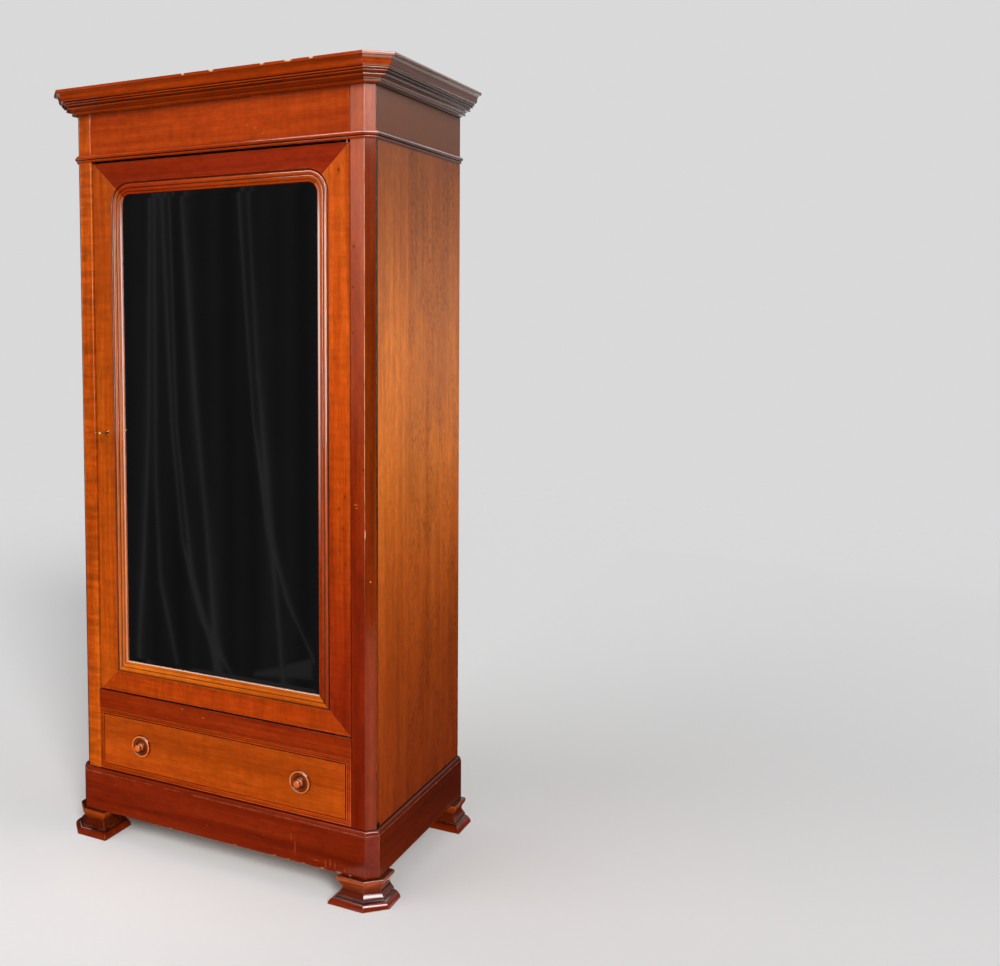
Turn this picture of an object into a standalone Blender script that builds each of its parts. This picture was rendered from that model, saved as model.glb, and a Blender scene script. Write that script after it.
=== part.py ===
"""Mirrored one-door armoire with a drawer, modelled in metres.

+Z is up and the front faces -Y. The origin is on the floor, under the middle of the outer box.
Depths are measured backwards from the plane of the post faces.
"""
import math

import bmesh
import bpy
from mathutils import Vector

# Clearances
FIT = 0.0003                    # between pieces that are glued together or rest on each other
PIN_PLAY = 0.00015              # round a hinge pin
PIN_ROOM = 0.001                # round and beyond the pin, inside the wood of the door
BOLT_PLAY = 0.0003              # round the lock bolt in its slot
DRAWER_PLAY = 0.001             # between a drawer side and its guide

# Case
CASE_WIDTH = 0.926
CASE_DEPTH = 0.570
CANT = 0.021                    # leg of the 45 degree corner cut
POST_FACE = 0.0397              # flat front of a post, up to the cant
POST_ROUND = 0.004              # rounded edge of a post beside the door
POST_RETURN = 0.001             # side of a post between cant and shadow groove
GROOVE_WIDTH = 0.0025           # shadow groove between post and side panel
GROOVE_DEPTH = 0.0035
SIDE_THICKNESS = 0.018
BACK_THICKNESS = 0.008
BACK_RAIL_HEIGHT = 0.040
BACK_RAIL_THICKNESS = 0.020
FLOOR_THICKNESS = 0.018
STOP_LAP = 0.008                # how far floor board and head rail stand behind the door's edges
HEAD_RAIL_THICKNESS = 0.018
FRIEZE_HEIGHT = 0.1287
TOP_THICKNESS = 0.012

# Base
FOOT_HEIGHT = 0.0695
FOOT_LIP = 0.025                # how far a foot's upper edge stands out from the case
FOOT_WIDTH = 0.1155             # at the upper edge
FOOT_DEPTH = 0.101
REAR_FOOT_DEPTH = 0.078
FOOT_CANT = 0.0245
PLINTH_HEIGHT = 0.1205
PLINTH_PROUD = 0.0109
PLINTH_THICKNESS = 0.022
PLINTH_ARRIS = 0.0012           # softened lower edge
BASE_THICKNESS = 0.018

# Drawer and its surround
SURROUND_HEIGHT = 0.1764
SURROUND_WIDTH = 0.0155
SURROUND_DEPTH = 0.020
DRAWER_GAP = 0.0015
DRAWER_GAP_BELOW = 0.0025
DRAWER_FRONT_THICKNESS = 0.020
DRAWER_REAR_GAP = 0.050         # from the back of the box to the rear of the case
DRAWER_SIDE_THICKNESS = 0.012
DRAWER_SIDE_INSET = 0.0025      # from the end of the front to the side
DRAWER_SIDE_DROP = 0.0045       # from the edges of the front to the edges of a side
DRAWER_BACK_DROP = 0.006        # from the top of a side to the top of the back
DRAWER_BOTTOM_RISE = 0.004      # from the foot of a side to the bottom panel
DRAWER_BOTTOM_THICKNESS = 0.006
RUNNER_LEDGE = 0.006            # how far a runner reaches under the drawer, past the side
GUIDE_HEIGHT = 0.026
KNOB_INSET = 0.130              # from the end of the front to the middle of a knob
DRAWER_RAIL_HEIGHT = 0.0527

# Door
DOOR_HEIGHT = 1.4795
DOOR_GAP_SIDE = 0.0028
DOOR_GAP_BELOW = 0.002
DOOR_GAP_ABOVE = 0.0055
DOOR_RECESS = 0.006             # door face behind the post faces
DOOR_THICKNESS = 0.027
STILE_WIDTH = 0.0595
TOP_RAIL_WIDTH = 0.0555
BOTTOM_RAIL_WIDTH = 0.056
MOULDING_WIDTH = 0.0335
MOULDING_DEPTH = 0.006          # from the door face to the back of the moulding
SIGHT_RADIUS = 0.028            # round upper corners of the visible glass
MIRROR_THICKNESS = 0.004
MIRROR_LAP = 0.006              # glass hidden behind the moulding
MIRROR_BEVEL = 0.013            # width of the bevel in sight
MIRROR_BEVEL_DROP = 0.0012
BACKING_THICKNESS = 0.006

# Pivot hinges, let into the ends of the door
HINGE_INSET = 0.010             # from the door's edge and ...
HINGE_SETBACK = 0.006           # ... from its face to the axis
PLATE_LENGTH = 0.043
PLATE_OVERHANG = 0.008          # plate past the axis, towards the post
PLATE_WIDTH = 0.010
PLATE_THICKNESS = 0.0025
PIN_RADIUS = 0.003
PIN_REACH = 0.0095              # length of pin inside the door

# Lock on the back of the left stile
LOCK_INSET = 0.0055             # from the door's edge to the lock case
LOCK_WIDTH = 0.060
LOCK_BELOW_KEY = 0.034
LOCK_ABOVE_KEY = 0.046
LOCK_DEPTH = 0.014
LOCK_WALL = 0.002
KEY_INSET = 0.0375              # from the door's edge to the key
KEY_HEIGHT = 0.736              # from the foot of the door to the key
BOLT_LENGTH = 0.054
BOLT_HEIGHT = 0.018
BOLT_THICKNESS = 0.008
BOLT_RISE = 0.008               # from the key's axis to the foot of the bolt
BOLT_SETBACK = 0.003            # from the open face of the lock case to the bolt
BOLT_THROW = 0.014
TALON_WIDTH = 0.014             # notch that the key's bit works in
TALON_DEPTH = 0.0055
KEY_PROUD = 0.046               # from the door face to the end of the bow
KEY_RADIUS = 0.0025
KEY_BIT_REACH = 0.012           # from the axis to the end of the bit
KEY_BIT_THICKNESS = 0.004
KEY_BIT_WIDTH = 0.007
KEY_TIP_GAP = 0.0008            # from the end of the key to the lock case
BOW_WIDTH = 0.024
BOW_LENGTH = 0.019
BOW_BAR = 0.004
BOW_THICKNESS = 0.0035
KEYHOLE_RADIUS = 0.0031
KEYHOLE_SLOT = 0.0036           # width of the slot under the round hole
KEYHOLE_DROP = 0.0125           # from the key's axis to the foot of the slot
ESCUTCHEON_RIM = 0.0016
ESCUTCHEON_THICKNESS = 0.0012

# Fittings inside
SHELF_HEIGHT = 1.640            # from the floor to the underside of the hat shelf
SHELF_THICKNESS = 0.018
SHELF_SETBACK = 0.090           # from the post faces to the front of the shelf
BATTEN_WIDTH = 0.020
BATTEN_HEIGHT = 0.030
RAIL_DROP = 0.080               # from the shelf to the middle of the hanging rail
RAIL_RADIUS = 0.0125
SOCKET_LENGTH = 0.016
SOCKET_WALL = 0.004
SOCKET_FLANGE = 0.012
SOCKET_FLANGE_THICKNESS = 0.004

# Mouldings, listed downwards as (shape, step inwards, step down). A level or plumb shape is a quarter
# round that sets out level or plumb, a bead is a half round, and a step inwards below zero goes outwards.
CORNICE = (
    ("flat", 0.0004, 0.0072),
    ("flat", 0.0024, 0.0006),
    ("level", 0.0100, 0.0120),
    ("plumb", 0.0076, 0.0100),
    ("flat", 0.0016, 0.0006),
    ("bead", 0.0034, 0.0048),
    ("flat", 0.0010, 0.0006),
    ("bead", 0.0030, 0.0046),
    ("level", 0.0046, 0.0034),
    ("bead", 0.0034, 0.0052),
    ("level", 0.0110, 0.0062),
    ("bead", 0.0036, 0.0046),
    ("level", 0.0090, 0.0034),
    ("flat", 0.0027, 0.0008),
)
CORNICE_BACKING = 0.020
ASTRAGAL_PROUD = 0.0042         # upper edge of the waist moulding, in front of the frieze
ASTRAGAL = (
    ("flat", 0.0, 0.0012),
    ("bead", 0.0, 0.0105),
    ("flat", 0.0016, 0.0006),
    ("bead", 0.0, 0.0052),
    ("flat", 0.0006, 0.0014),
)
PLINTH_EDGE = (
    ("level", -0.0090, 0.0100),
    ("flat", 0.0010, 0.0008),
    ("flat", -0.0026, 0.0014),
)
FOOT = (
    ("level", -0.0035, 0.0042),
    ("flat", 0.0000, 0.0030),
    ("flat", 0.0014, 0.0036),
    ("flat", 0.0050, 0.0086),
    ("flat", 0.0040, 0.0060),
    ("flat", 0.0018, 0.0042),
    ("flat", 0.0004, 0.0032),
    ("flat", -0.0018, 0.0038),
    ("flat", -0.0042, 0.0050),
    ("flat", -0.0050, 0.0044),
    ("flat", -0.0004, 0.0052),
    ("flat", -0.0026, 0.0006),
    ("flat", -0.0052, 0.0022),
    ("flat", -0.0046, 0.0036),
    ("flat", -0.0032, 0.0042),
    ("flat", -0.0016, 0.0042),
    ("flat", -0.0004, 0.0018),
)
FOOT_EDGE = 0.0014              # rounding of the lowest edge
SURROUND_QUIRK = 0.0024         # groove depth beside the beads of the surround
SURROUND_BEAD = 0.0050          # width of each bead
MIRROR_SLOPE = 0.0045           # hollow between the frame and the outer bead
MIRROR_OUTER_BEAD = 0.0115
MIRROR_INNER_BEAD = 0.0105
MIRROR_QUIRK = 0.0034           # depth of the grooves, from the door face
MIRROR_INNER_CREST = 0.0014     # depth of the inner bead's crest
MIRROR_LIP = 0.0048             # depth of the moulding's edge at the glass
KNOB = (
    (0.0305, 0.0000), (0.0312, 0.0022), (0.0300, 0.0048), (0.0275, 0.0060), (0.0248, 0.0052),
    (0.0232, 0.0036), (0.0185, 0.0027), (0.0135, 0.0027), (0.0122, 0.0042), (0.0098, 0.0046),
    (0.0064, 0.0066), (0.0056, 0.0098), (0.0074, 0.0124), (0.0098, 0.0150), (0.0104, 0.0176),
    (0.0092, 0.0204), (0.0058, 0.0220), (0.0022, 0.0224),
)                               # turned outline as (radius, distance from the drawer front)

ROUND_STEPS = 40
CURVE_STEPS = 6
CORNER_STEPS = 14
SHARP_ANGLE = math.radians(35)  # edges bent more than this are shaded sharp

# Places that follow from the sizes
HALF = CASE_WIDTH / 2
CORNICE_PROUD = sum(step[1] for step in CORNICE)
CORNICE_HEIGHT = sum(step[2] for step in CORNICE)
FRONT = (CORNICE_PROUD - CASE_DEPTH) / 2
REAR = FRONT + CASE_DEPTH
POST_DEPTH = DOOR_RECESS + DOOR_THICKNESS
OPENING = HALF - CANT - POST_FACE
SIDE_FRONT = CANT + POST_RETURN + GROOVE_WIDTH
INSIDE = HALF - SIDE_THICKNESS - FIT
BEHIND_POSTS = FRONT + POST_DEPTH + FIT
BEFORE_BACK = REAR - BACK_THICKNESS - FIT

Z_PLINTH = FOOT_HEIGHT + FIT
Z_CASE = Z_PLINTH + PLINTH_HEIGHT
Z_SURROUND = Z_CASE + FIT
Z_RAIL = Z_SURROUND + SURROUND_HEIGHT + FIT
Z_RAIL_TOP = Z_RAIL + DRAWER_RAIL_HEIGHT
Z_DOOR = Z_RAIL_TOP + DOOR_GAP_BELOW
Z_DOOR_TOP = Z_DOOR + DOOR_HEIGHT
Z_HEAD = Z_DOOR_TOP + DOOR_GAP_ABOVE
Z_CORNICE = Z_HEAD + FRIEZE_HEIGHT + FIT
Z_FLOOR = Z_DOOR + STOP_LAP

DOOR_HALF = OPENING - DOOR_GAP_SIDE
DOOR_FACE = FRONT + DOOR_RECESS
DOOR_BACK = DOOR_FACE + DOOR_THICKNESS
SIGHT_HALF = DOOR_HALF - STILE_WIDTH - MOULDING_WIDTH
SIGHT_LOW = Z_DOOR + BOTTOM_RAIL_WIDTH + MOULDING_WIDTH
SIGHT_HIGH = Z_DOOR_TOP - TOP_RAIL_WIDTH - MOULDING_WIDTH
HINGE_X = DOOR_HALF - HINGE_INSET
HINGE_Y = DOOR_FACE + HINGE_SETBACK
KEY_X = -DOOR_HALF + KEY_INSET
KEY_Z = Z_DOOR + KEY_HEIGHT
LOCK_FRONT = DOOR_BACK + FIT
BOLT_FRONT = LOCK_FRONT + BOLT_SETBACK
BOLT_LEFT = -DOOR_HALF + LOCK_INSET

DRAWER_HALF = OPENING - FIT - SURROUND_WIDTH - DRAWER_GAP
DRAWER_LOW = Z_SURROUND + SURROUND_WIDTH + DRAWER_GAP_BELOW
DRAWER_HIGH = Z_SURROUND + SURROUND_HEIGHT - SURROUND_WIDTH - DRAWER_GAP
DRAWER_SIDE_OUT = DRAWER_HALF - DRAWER_SIDE_INSET
DRAWER_SIDE_IN = DRAWER_SIDE_OUT - DRAWER_SIDE_THICKNESS
DRAWER_SIDE_LOW = DRAWER_LOW + DRAWER_SIDE_DROP
DRAWER_SIDE_HIGH = DRAWER_HIGH - DRAWER_SIDE_DROP
DRAWER_BOX_FRONT = FRONT + DRAWER_FRONT_THICKNESS + FIT
DRAWER_BOX_REAR = REAR - DRAWER_REAR_GAP


def clear_scene():
    for item in list(bpy.data.objects):
        bpy.data.objects.remove(item, do_unlink=True)


def make_finish(name, colour, roughness, metallic=0.0):
    finish = bpy.data.materials.new(name)
    finish.use_nodes = True
    shader = finish.node_tree.nodes["Principled BSDF"]
    shader.inputs["Base Color"].default_value = (*colour, 1.0)
    shader.inputs["Roughness"].default_value = roughness
    shader.inputs["Metallic"].default_value = metallic
    return finish


def make_finishes():
    return {
        "golden": make_finish("golden_cherry", (0.42, 0.10, 0.012), 0.28),
        "red": make_finish("red_cherry", (0.20, 0.030, 0.006), 0.28),
        "side": make_finish("side_cherry", (0.28, 0.085, 0.020), 0.30),
        "pale": make_finish("inside_wood", (0.48, 0.30, 0.15), 0.60),
        "sheet": make_finish("back_sheet", (0.36, 0.21, 0.10), 0.65),
        "mirror": make_finish("mirror_glass", (0.80, 0.82, 0.82), 0.03, 1.0),
        "brass": make_finish("brass", (0.60, 0.42, 0.14), 0.30, 1.0),
        "steel": make_finish("steel", (0.45, 0.44, 0.42), 0.35, 1.0),
    }


class Group:
    """An empty that carries pieces. Pieces are given in world places and hung on it."""

    def __init__(self, name, origin, parent=None):
        self.origin = Vector(origin)
        self.empty = bpy.data.objects.new(name, None)
        bpy.context.scene.collection.objects.link(self.empty)
        if parent is None:
            self.empty.location = self.origin
        else:
            self.empty.parent = parent.empty
            self.empty.location = self.origin - parent.origin

    def hang(self, item, place):
        item.parent = self.empty
        item.location = Vector(place) - self.origin


def make_solid(name, points, faces, finish, group, smooth=False):
    """One closed mesh object from world points, with its origin in the middle of its box."""
    spans = [(min(axis), max(axis)) for axis in zip(*points)]
    middle = Vector([(low + high) / 2 for low, high in spans])
    mesh = bpy.data.meshes.new(name)
    mesh.from_pydata([Vector(point) - middle for point in points], [], faces)
    shape = bmesh.new()
    shape.from_mesh(mesh)
    bmesh.ops.recalc_face_normals(shape, faces=shape.faces)
    shape.to_mesh(mesh)
    shape.free()
    mesh.materials.append(finish)
    if smooth:
        mesh.shade_smooth()
        mesh.set_sharp_from_angle(angle=SHARP_ANGLE)
    item = bpy.data.objects.new(name, mesh)
    bpy.context.scene.collection.objects.link(item)
    group.hang(item, middle)
    return item


def strips(loops, count, closed):
    """Side faces between neighbouring loops of points, which may run round to the first loop."""
    faces = []
    last = loops if closed else loops - 1
    for row in range(last):
        after = (row + 1) % loops
        for step in range(count):
            ahead = (step + 1) % count
            face = [(row, step), (row, ahead), (after, ahead), (after, step)]
            faces.append([loop * count + spot for loop, spot in face])
    return faces


def loft(name, loops, finish, group, smooth=False):
    """A solid through closed loops of points, with flat ends."""
    count = len(loops[0])
    points = [point for loop in loops for point in loop]
    faces = strips(len(loops), count, False)
    faces.append(tuple(range(count)))
    faces.append(tuple(range(len(points) - count, len(points))))
    return make_solid(name, points, faces, finish, group, smooth)


def ring(name, loops, finish, group, smooth=False):
    """A solid ring through closed loops of points, where the last loop meets the first."""
    points = [point for loop in loops for point in loop]
    return make_solid(name, points, strips(len(loops), len(loops[0]), True), finish, group, smooth)


def box(name, low, high, finish, group):
    corners = [(low[0], low[1]), (high[0], low[1]), (high[0], high[1]), (low[0], high[1])]
    return loft(name, [[(x, y, z) for x, y in corners] for z in (low[2], high[2])], finish, group)


def upright(name, outline, low, high, finish, group):
    """A plan outline raised from one height to another."""
    return loft(name, [[(x, y, z) for x, y in outline] for z in (low, high)], finish, group)


def through(name, outline, front, back, finish, group):
    """An outline in the plane of the front, carried backwards."""
    return loft(name, [[(x, y, z) for x, z in outline] for y in (front, back)], finish, group)


def turned(name, outline, centre, out, finish, group):
    """A turned solid: the outline is (radius, distance) along the axis that points out."""
    axis = Vector(out)
    across = axis.orthogonal().normalized()
    aside = axis.cross(across)
    loops = []
    for radius, along in outline:
        hub = Vector(centre) + axis * along
        loops.append([hub + (across * math.cos(turn) + aside * math.sin(turn)) * radius for turn in turns()])
    return loft(name, loops, finish, group, smooth=True)


def turns():
    return [2 * math.pi * step / ROUND_STEPS for step in range(ROUND_STEPS)]


def quarter():
    return [math.pi / 2 * step / CURVE_STEPS for step in range(1, CURVE_STEPS + 1)]


def as_cutter(item):
    item.hide_render = True
    item.display_type = "WIRE"
    return item


def combine(item, other, operation):
    change = item.modifiers.new(operation.lower(), "BOOLEAN")
    change.operation = operation
    change.solver = "EXACT"
    change.object = as_cutter(other)


def moulded(members, start):
    """Outline of a moulding, walked downwards from its upper edge, as (offset, height)."""
    outline = [start]
    offset, height = start
    for shape, inset, drop in members:
        if shape == "flat":
            steps = [(inset, drop)]
        elif shape == "level":
            steps = [(inset * math.sin(turn), drop * (1 - math.cos(turn))) for turn in quarter()]
        elif shape == "plumb":
            steps = [(inset * (1 - math.cos(turn)), drop * math.sin(turn)) for turn in quarter()]
        else:
            steps = bead_steps(inset, drop)
        outline += [(offset - inwards, height - down) for inwards, down in steps]
        offset -= inset
        height -= drop
    return outline


def bead_steps(inset, drop):
    """A half round on the line from the last point to the next one."""
    steps = []
    for step in range(1, 2 * CURVE_STEPS + 1):
        turn = math.pi * step / (2 * CURVE_STEPS)
        along = (1 - math.cos(turn)) / 2
        bulge = math.sin(turn) / 2
        steps.append((inset * along - drop * bulge, drop * along + inset * bulge))
    return steps


def case_corners():
    """Plan of the case from rear left round the front to rear right, with outward mitres."""
    plan = [
        Vector((-HALF, REAR)), Vector((-HALF, FRONT + CANT)), Vector((-HALF + CANT, FRONT)),
        Vector((HALF - CANT, FRONT)), Vector((HALF, FRONT + CANT)), Vector((HALF, REAR)),
    ]
    runs = [(after - before).normalized() for before, after in zip(plan, plan[1:])]
    normals = [Vector((run.y, -run.x)) for run in runs]
    mitres = [normals[0]]
    for first, second in zip(normals, normals[1:]):
        mitres.append((first + second) / (1 + first.dot(second)))
    mitres.append(normals[-1])
    return plan, runs, mitres


def case_plan(offset, rear):
    """Plan of the case grown by an offset, cut off square at the rear."""
    plan, _, mitres = case_corners()
    spots = [point + mitre * offset for point, mitre in zip(plan, mitres)]
    return [(spots[0].x, rear)] + [(spot.x, spot.y) for spot in spots[1:-1]] + [(spots[-1].x, rear)]


def wrap(name, outline, finish, group):
    """A moulding round the case: a front piece with both cants, and a piece on each side."""
    plan, runs, mitres = case_corners()
    pieces = {"front": (1, 4), "left": (0, 1), "right": (4, 5)}
    for side, (first, last) in pieces.items():
        loops = []
        for corner in range(first, last + 1):
            point = plan[corner].copy()
            if corner == first and corner > 0:
                point += runs[corner] * FIT
            if corner == last and corner < len(plan) - 1:
                point -= runs[corner - 1] * FIT
            spots = [(point + mitres[corner] * offset, height) for offset, height in outline]
            loops.append([(spot.x, spot.y, height) for spot, height in spots])
        loft(f"{name}_{side}", loops, finish, group, smooth=True)


def build_feet(group, finishes):
    rounding = FOOT[0][1]
    profile = moulded(FOOT, (FOOT_LIP + rounding, FOOT_HEIGHT))
    widest, edge = profile[-1]
    profile += [(widest + FOOT_EDGE / 2, edge / 2), (widest, FOOT_EDGE / 2), (widest - FOOT_EDGE / 2, 0.0)]
    spread = 2 - math.sqrt(2)
    for side, sign in (("left", -1), ("right", 1)):
        front_loops = []
        rear_loops = []
        for offset, height in profile:
            outer = HALF + offset
            inner = HALF + 2 * FOOT_LIP - FOOT_WIDTH - offset
            cant = FOOT_CANT + offset * spread
            face = FRONT - offset
            behind = FRONT - FOOT_LIP + FOOT_DEPTH
            front_plan = [
                (inner, face), (outer - cant, face), (outer, face + cant), (outer, behind), (inner, behind),
            ]
            rear_face = REAR - REAR_FOOT_DEPTH + FOOT_LIP - offset
            rear_plan = [(inner, rear_face), (outer, rear_face), (outer, REAR), (inner, REAR)]
            front_loops.append([(sign * x, y, height) for x, y in front_plan])
            rear_loops.append([(sign * x, y, height) for x, y in rear_plan])
        loft(f"foot_front_{side}", front_loops, finishes["red"], group, smooth=True)
        loft(f"foot_rear_{side}", rear_loops, finishes["red"], group, smooth=True)


def build_plinth(group, finishes):
    inner = PLINTH_PROUD - PLINTH_THICKNESS
    upper = PLINTH_PROUD + sum(step[1] for step in PLINTH_EDGE)
    outline = moulded(PLINTH_EDGE, (upper, Z_CASE))
    outline += [
        (PLINTH_PROUD, Z_PLINTH + PLINTH_ARRIS), (PLINTH_PROUD - PLINTH_ARRIS, Z_PLINTH),
        (inner, Z_PLINTH), (inner, Z_CASE),
    ]
    wrap("plinth", outline, finishes["red"], group)
    across = HALF + inner - FIT
    behind = REAR - PLINTH_THICKNESS
    box("plinth_rear", (-across, behind, Z_PLINTH), (across, REAR, Z_CASE), finishes["pale"], group)
    board = case_plan(inner - FIT, behind - FIT)
    upright("base_board", board, Z_CASE - BASE_THICKNESS, Z_CASE, finishes["pale"], group)


def build_posts(group, finishes):
    side_face = HALF - SIDE_THICKNESS - FIT
    before_side = SIDE_FRONT - FIT
    section = [(OPENING, POST_ROUND)]
    for turn in quarter():
        section.append((OPENING + POST_ROUND * (1 - math.cos(turn)), POST_ROUND * (1 - math.sin(turn))))
    groove_face = HALF - GROOVE_DEPTH
    before_groove = CANT + POST_RETURN
    section += [
        (HALF - CANT, 0.0), (HALF, CANT), (HALF, before_groove), (groove_face, before_groove),
        (groove_face, before_side), (side_face, before_side), (side_face, POST_DEPTH), (OPENING, POST_DEPTH),
    ]
    for side, sign in (("left", -1), ("right", 1)):
        plan = [(sign * x, FRONT + depth) for x, depth in section]
        upright(f"post_front_{side}", plan, Z_CASE + FIT, Z_CORNICE - FIT, finishes["golden"], group)
        inner, outer = sorted((sign * (HALF - SIDE_THICKNESS), sign * HALF))
        low = (inner, FRONT + SIDE_FRONT, Z_CASE + FIT)
        box(f"side_panel_{side}", low, (outer, REAR, Z_CORNICE - FIT), finishes["side"], group)


def build_back(group, finishes):
    low = (-INSIDE, REAR - BACK_THICKNESS, Z_CASE + FIT)
    box("back_panel", low, (INSIDE, REAR, Z_CORNICE - FIT), finishes["sheet"], group)
    tops = {"lower": Z_FLOOR - FLOOR_THICKNESS - FIT, "upper": Z_CORNICE - FIT}
    for level, top in tops.items():
        low = (-INSIDE, BEFORE_BACK - BACK_RAIL_THICKNESS, top - BACK_RAIL_HEIGHT)
        box(f"back_rail_{level}", low, (INSIDE, BEFORE_BACK, top), finishes["pale"], group)


def stop_plan(back):
    """Plan of a board behind the door, set back where the door's inner corner swings round."""
    axis_to_back = DOOR_BACK - HINGE_Y
    swing = math.hypot(HINGE_INSET, axis_to_back)
    notch_left = HINGE_X - axis_to_back
    notch_back = HINGE_Y + swing + FIT
    return [
        (-INSIDE, BEHIND_POSTS), (notch_left, BEHIND_POSTS), (notch_left, notch_back), (INSIDE, notch_back),
        (INSIDE, back), (-INSIDE, back),
    ]


def build_case_boards(group, finishes):
    plan = stop_plan(BEFORE_BACK)
    upright("floor_board", plan, Z_FLOOR - FLOOR_THICKNESS, Z_FLOOR, finishes["pale"], group)
    plan = stop_plan(BEHIND_POSTS + HEAD_RAIL_THICKNESS)
    upright("head_rail", plan, Z_DOOR_TOP - STOP_LAP, Z_CORNICE - FIT, finishes["pale"], group)
    board = case_plan(-CORNICE_BACKING - FIT, REAR)
    upright("top_board", board, Z_CORNICE, Z_CORNICE + TOP_THICKNESS, finishes["pale"], group)


def build_front_boards(group, finishes):
    across = OPENING - FIT
    back = FRONT + POST_DEPTH
    low = (-across, FRONT, Z_RAIL)
    rail = box("drawer_rail", low, (across, back, Z_RAIL_TOP), finishes["red"], group)
    low = (-across, FRONT, Z_HEAD)
    frieze = box("frieze_board", low, (across, back, Z_CORNICE - FIT), finishes["golden"], group)
    return rail, frieze


def surround_outline(grow):
    half = OPENING - FIT - SURROUND_WIDTH + grow
    low = Z_SURROUND + SURROUND_WIDTH - grow
    high = Z_SURROUND + SURROUND_HEIGHT - SURROUND_WIDTH + grow
    return [(-half, low), (half, low), (half, high), (-half, high)]


def bead_row(start, width, floor, crest):
    """A rounded bead across a moulding, as (distance, depth)."""
    row = []
    for step in range(2 * CURVE_STEPS + 1):
        turn = math.pi * step / (2 * CURVE_STEPS)
        row.append((start + width * (1 - math.cos(turn)) / 2, floor + (crest - floor) * math.sin(turn)))
    return row


def build_surround(group, finishes):
    flat = SURROUND_WIDTH - 2 * SURROUND_BEAD
    profile = [(0.0, SURROUND_DEPTH)]
    profile += bead_row(0.0, SURROUND_BEAD, SURROUND_QUIRK, 0.0)
    profile += [(SURROUND_BEAD + flat / 2, SURROUND_QUIRK / 2)]
    profile += bead_row(SURROUND_BEAD + flat, SURROUND_BEAD, SURROUND_QUIRK, 0.0)
    profile += [(SURROUND_WIDTH, SURROUND_DEPTH)]
    loops = [[(x, FRONT + depth, z) for x, z in surround_outline(grow)] for grow, depth in profile]
    ring("drawer_surround", loops, finishes["red"], group, smooth=True)


def build_mouldings(group, finishes):
    outline = moulded(ASTRAGAL, (ASTRAGAL_PROUD, Z_HEAD + sum(step[2] for step in ASTRAGAL)))
    outline += [(FIT, Z_HEAD), (FIT, outline[0][1])]
    wrap("astragal", outline, finishes["red"], group)
    outline = moulded(CORNICE, (CORNICE_PROUD, Z_CORNICE + CORNICE_HEIGHT))
    outline += [(-CORNICE_BACKING, Z_CORNICE), (-CORNICE_BACKING, Z_CORNICE + CORNICE_HEIGHT)]
    wrap("cornice", outline, finishes["red"], group)


def build_fittings(group, finishes):
    top = SHELF_HEIGHT + SHELF_THICKNESS
    low = (-INSIDE, FRONT + SHELF_SETBACK, SHELF_HEIGHT)
    box("hat_shelf", low, (INSIDE, BEFORE_BACK, top), finishes["pale"], group)
    height = SHELF_HEIGHT - RAIL_DROP
    middle = FRONT + CASE_DEPTH / 2
    bore = RAIL_RADIUS + FIT
    sleeve = bore + SOCKET_WALL
    flange = sleeve + SOCKET_FLANGE
    for side, sign in (("left", -1), ("right", 1)):
        inner, outer = sorted((sign * (INSIDE - BATTEN_WIDTH), sign * INSIDE))
        low = (inner, FRONT + SHELF_SETBACK, SHELF_HEIGHT - FIT - BATTEN_HEIGHT)
        box(f"shelf_batten_{side}", low, (outer, BEFORE_BACK, SHELF_HEIGHT - FIT), finishes["pale"], group)
        profile = [
            (bore, 0.0), (flange, 0.0), (flange, SOCKET_FLANGE_THICKNESS), (sleeve, SOCKET_FLANGE_THICKNESS),
            (sleeve, SOCKET_LENGTH), (bore, SOCKET_LENGTH),
        ]
        loops = []
        for radius, along in profile:
            hub = Vector((sign * (INSIDE - along), middle, height))
            loops.append([hub + Vector((0.0, math.cos(turn), math.sin(turn))) * radius for turn in turns()])
        ring(f"rail_socket_{side}", loops, finishes["brass"], group, smooth=True)
    length = INSIDE - FIT
    outline = [(RAIL_RADIUS, -length), (RAIL_RADIUS, length)]
    turned("hanging_rail", outline, (0.0, middle, height), (1, 0, 0), finishes["brass"], group)


def build_runners(group, finishes):
    inner = DRAWER_SIDE_IN - RUNNER_LEDGE
    guide = DRAWER_SIDE_OUT + DRAWER_PLAY
    low = Z_CASE + FIT
    ledge = DRAWER_SIDE_LOW - FIT
    top = ledge + GUIDE_HEIGHT
    section = [(inner, low), (INSIDE, low), (INSIDE, top), (guide, top), (guide, ledge), (inner, ledge)]
    behind = BEFORE_BACK - BACK_RAIL_THICKNESS
    for side, sign in (("left", -1), ("right", 1)):
        outline = [(sign * x, z) for x, z in section]
        through(f"drawer_runner_{side}", outline, BEHIND_POSTS, behind, finishes["pale"], group)


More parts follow.
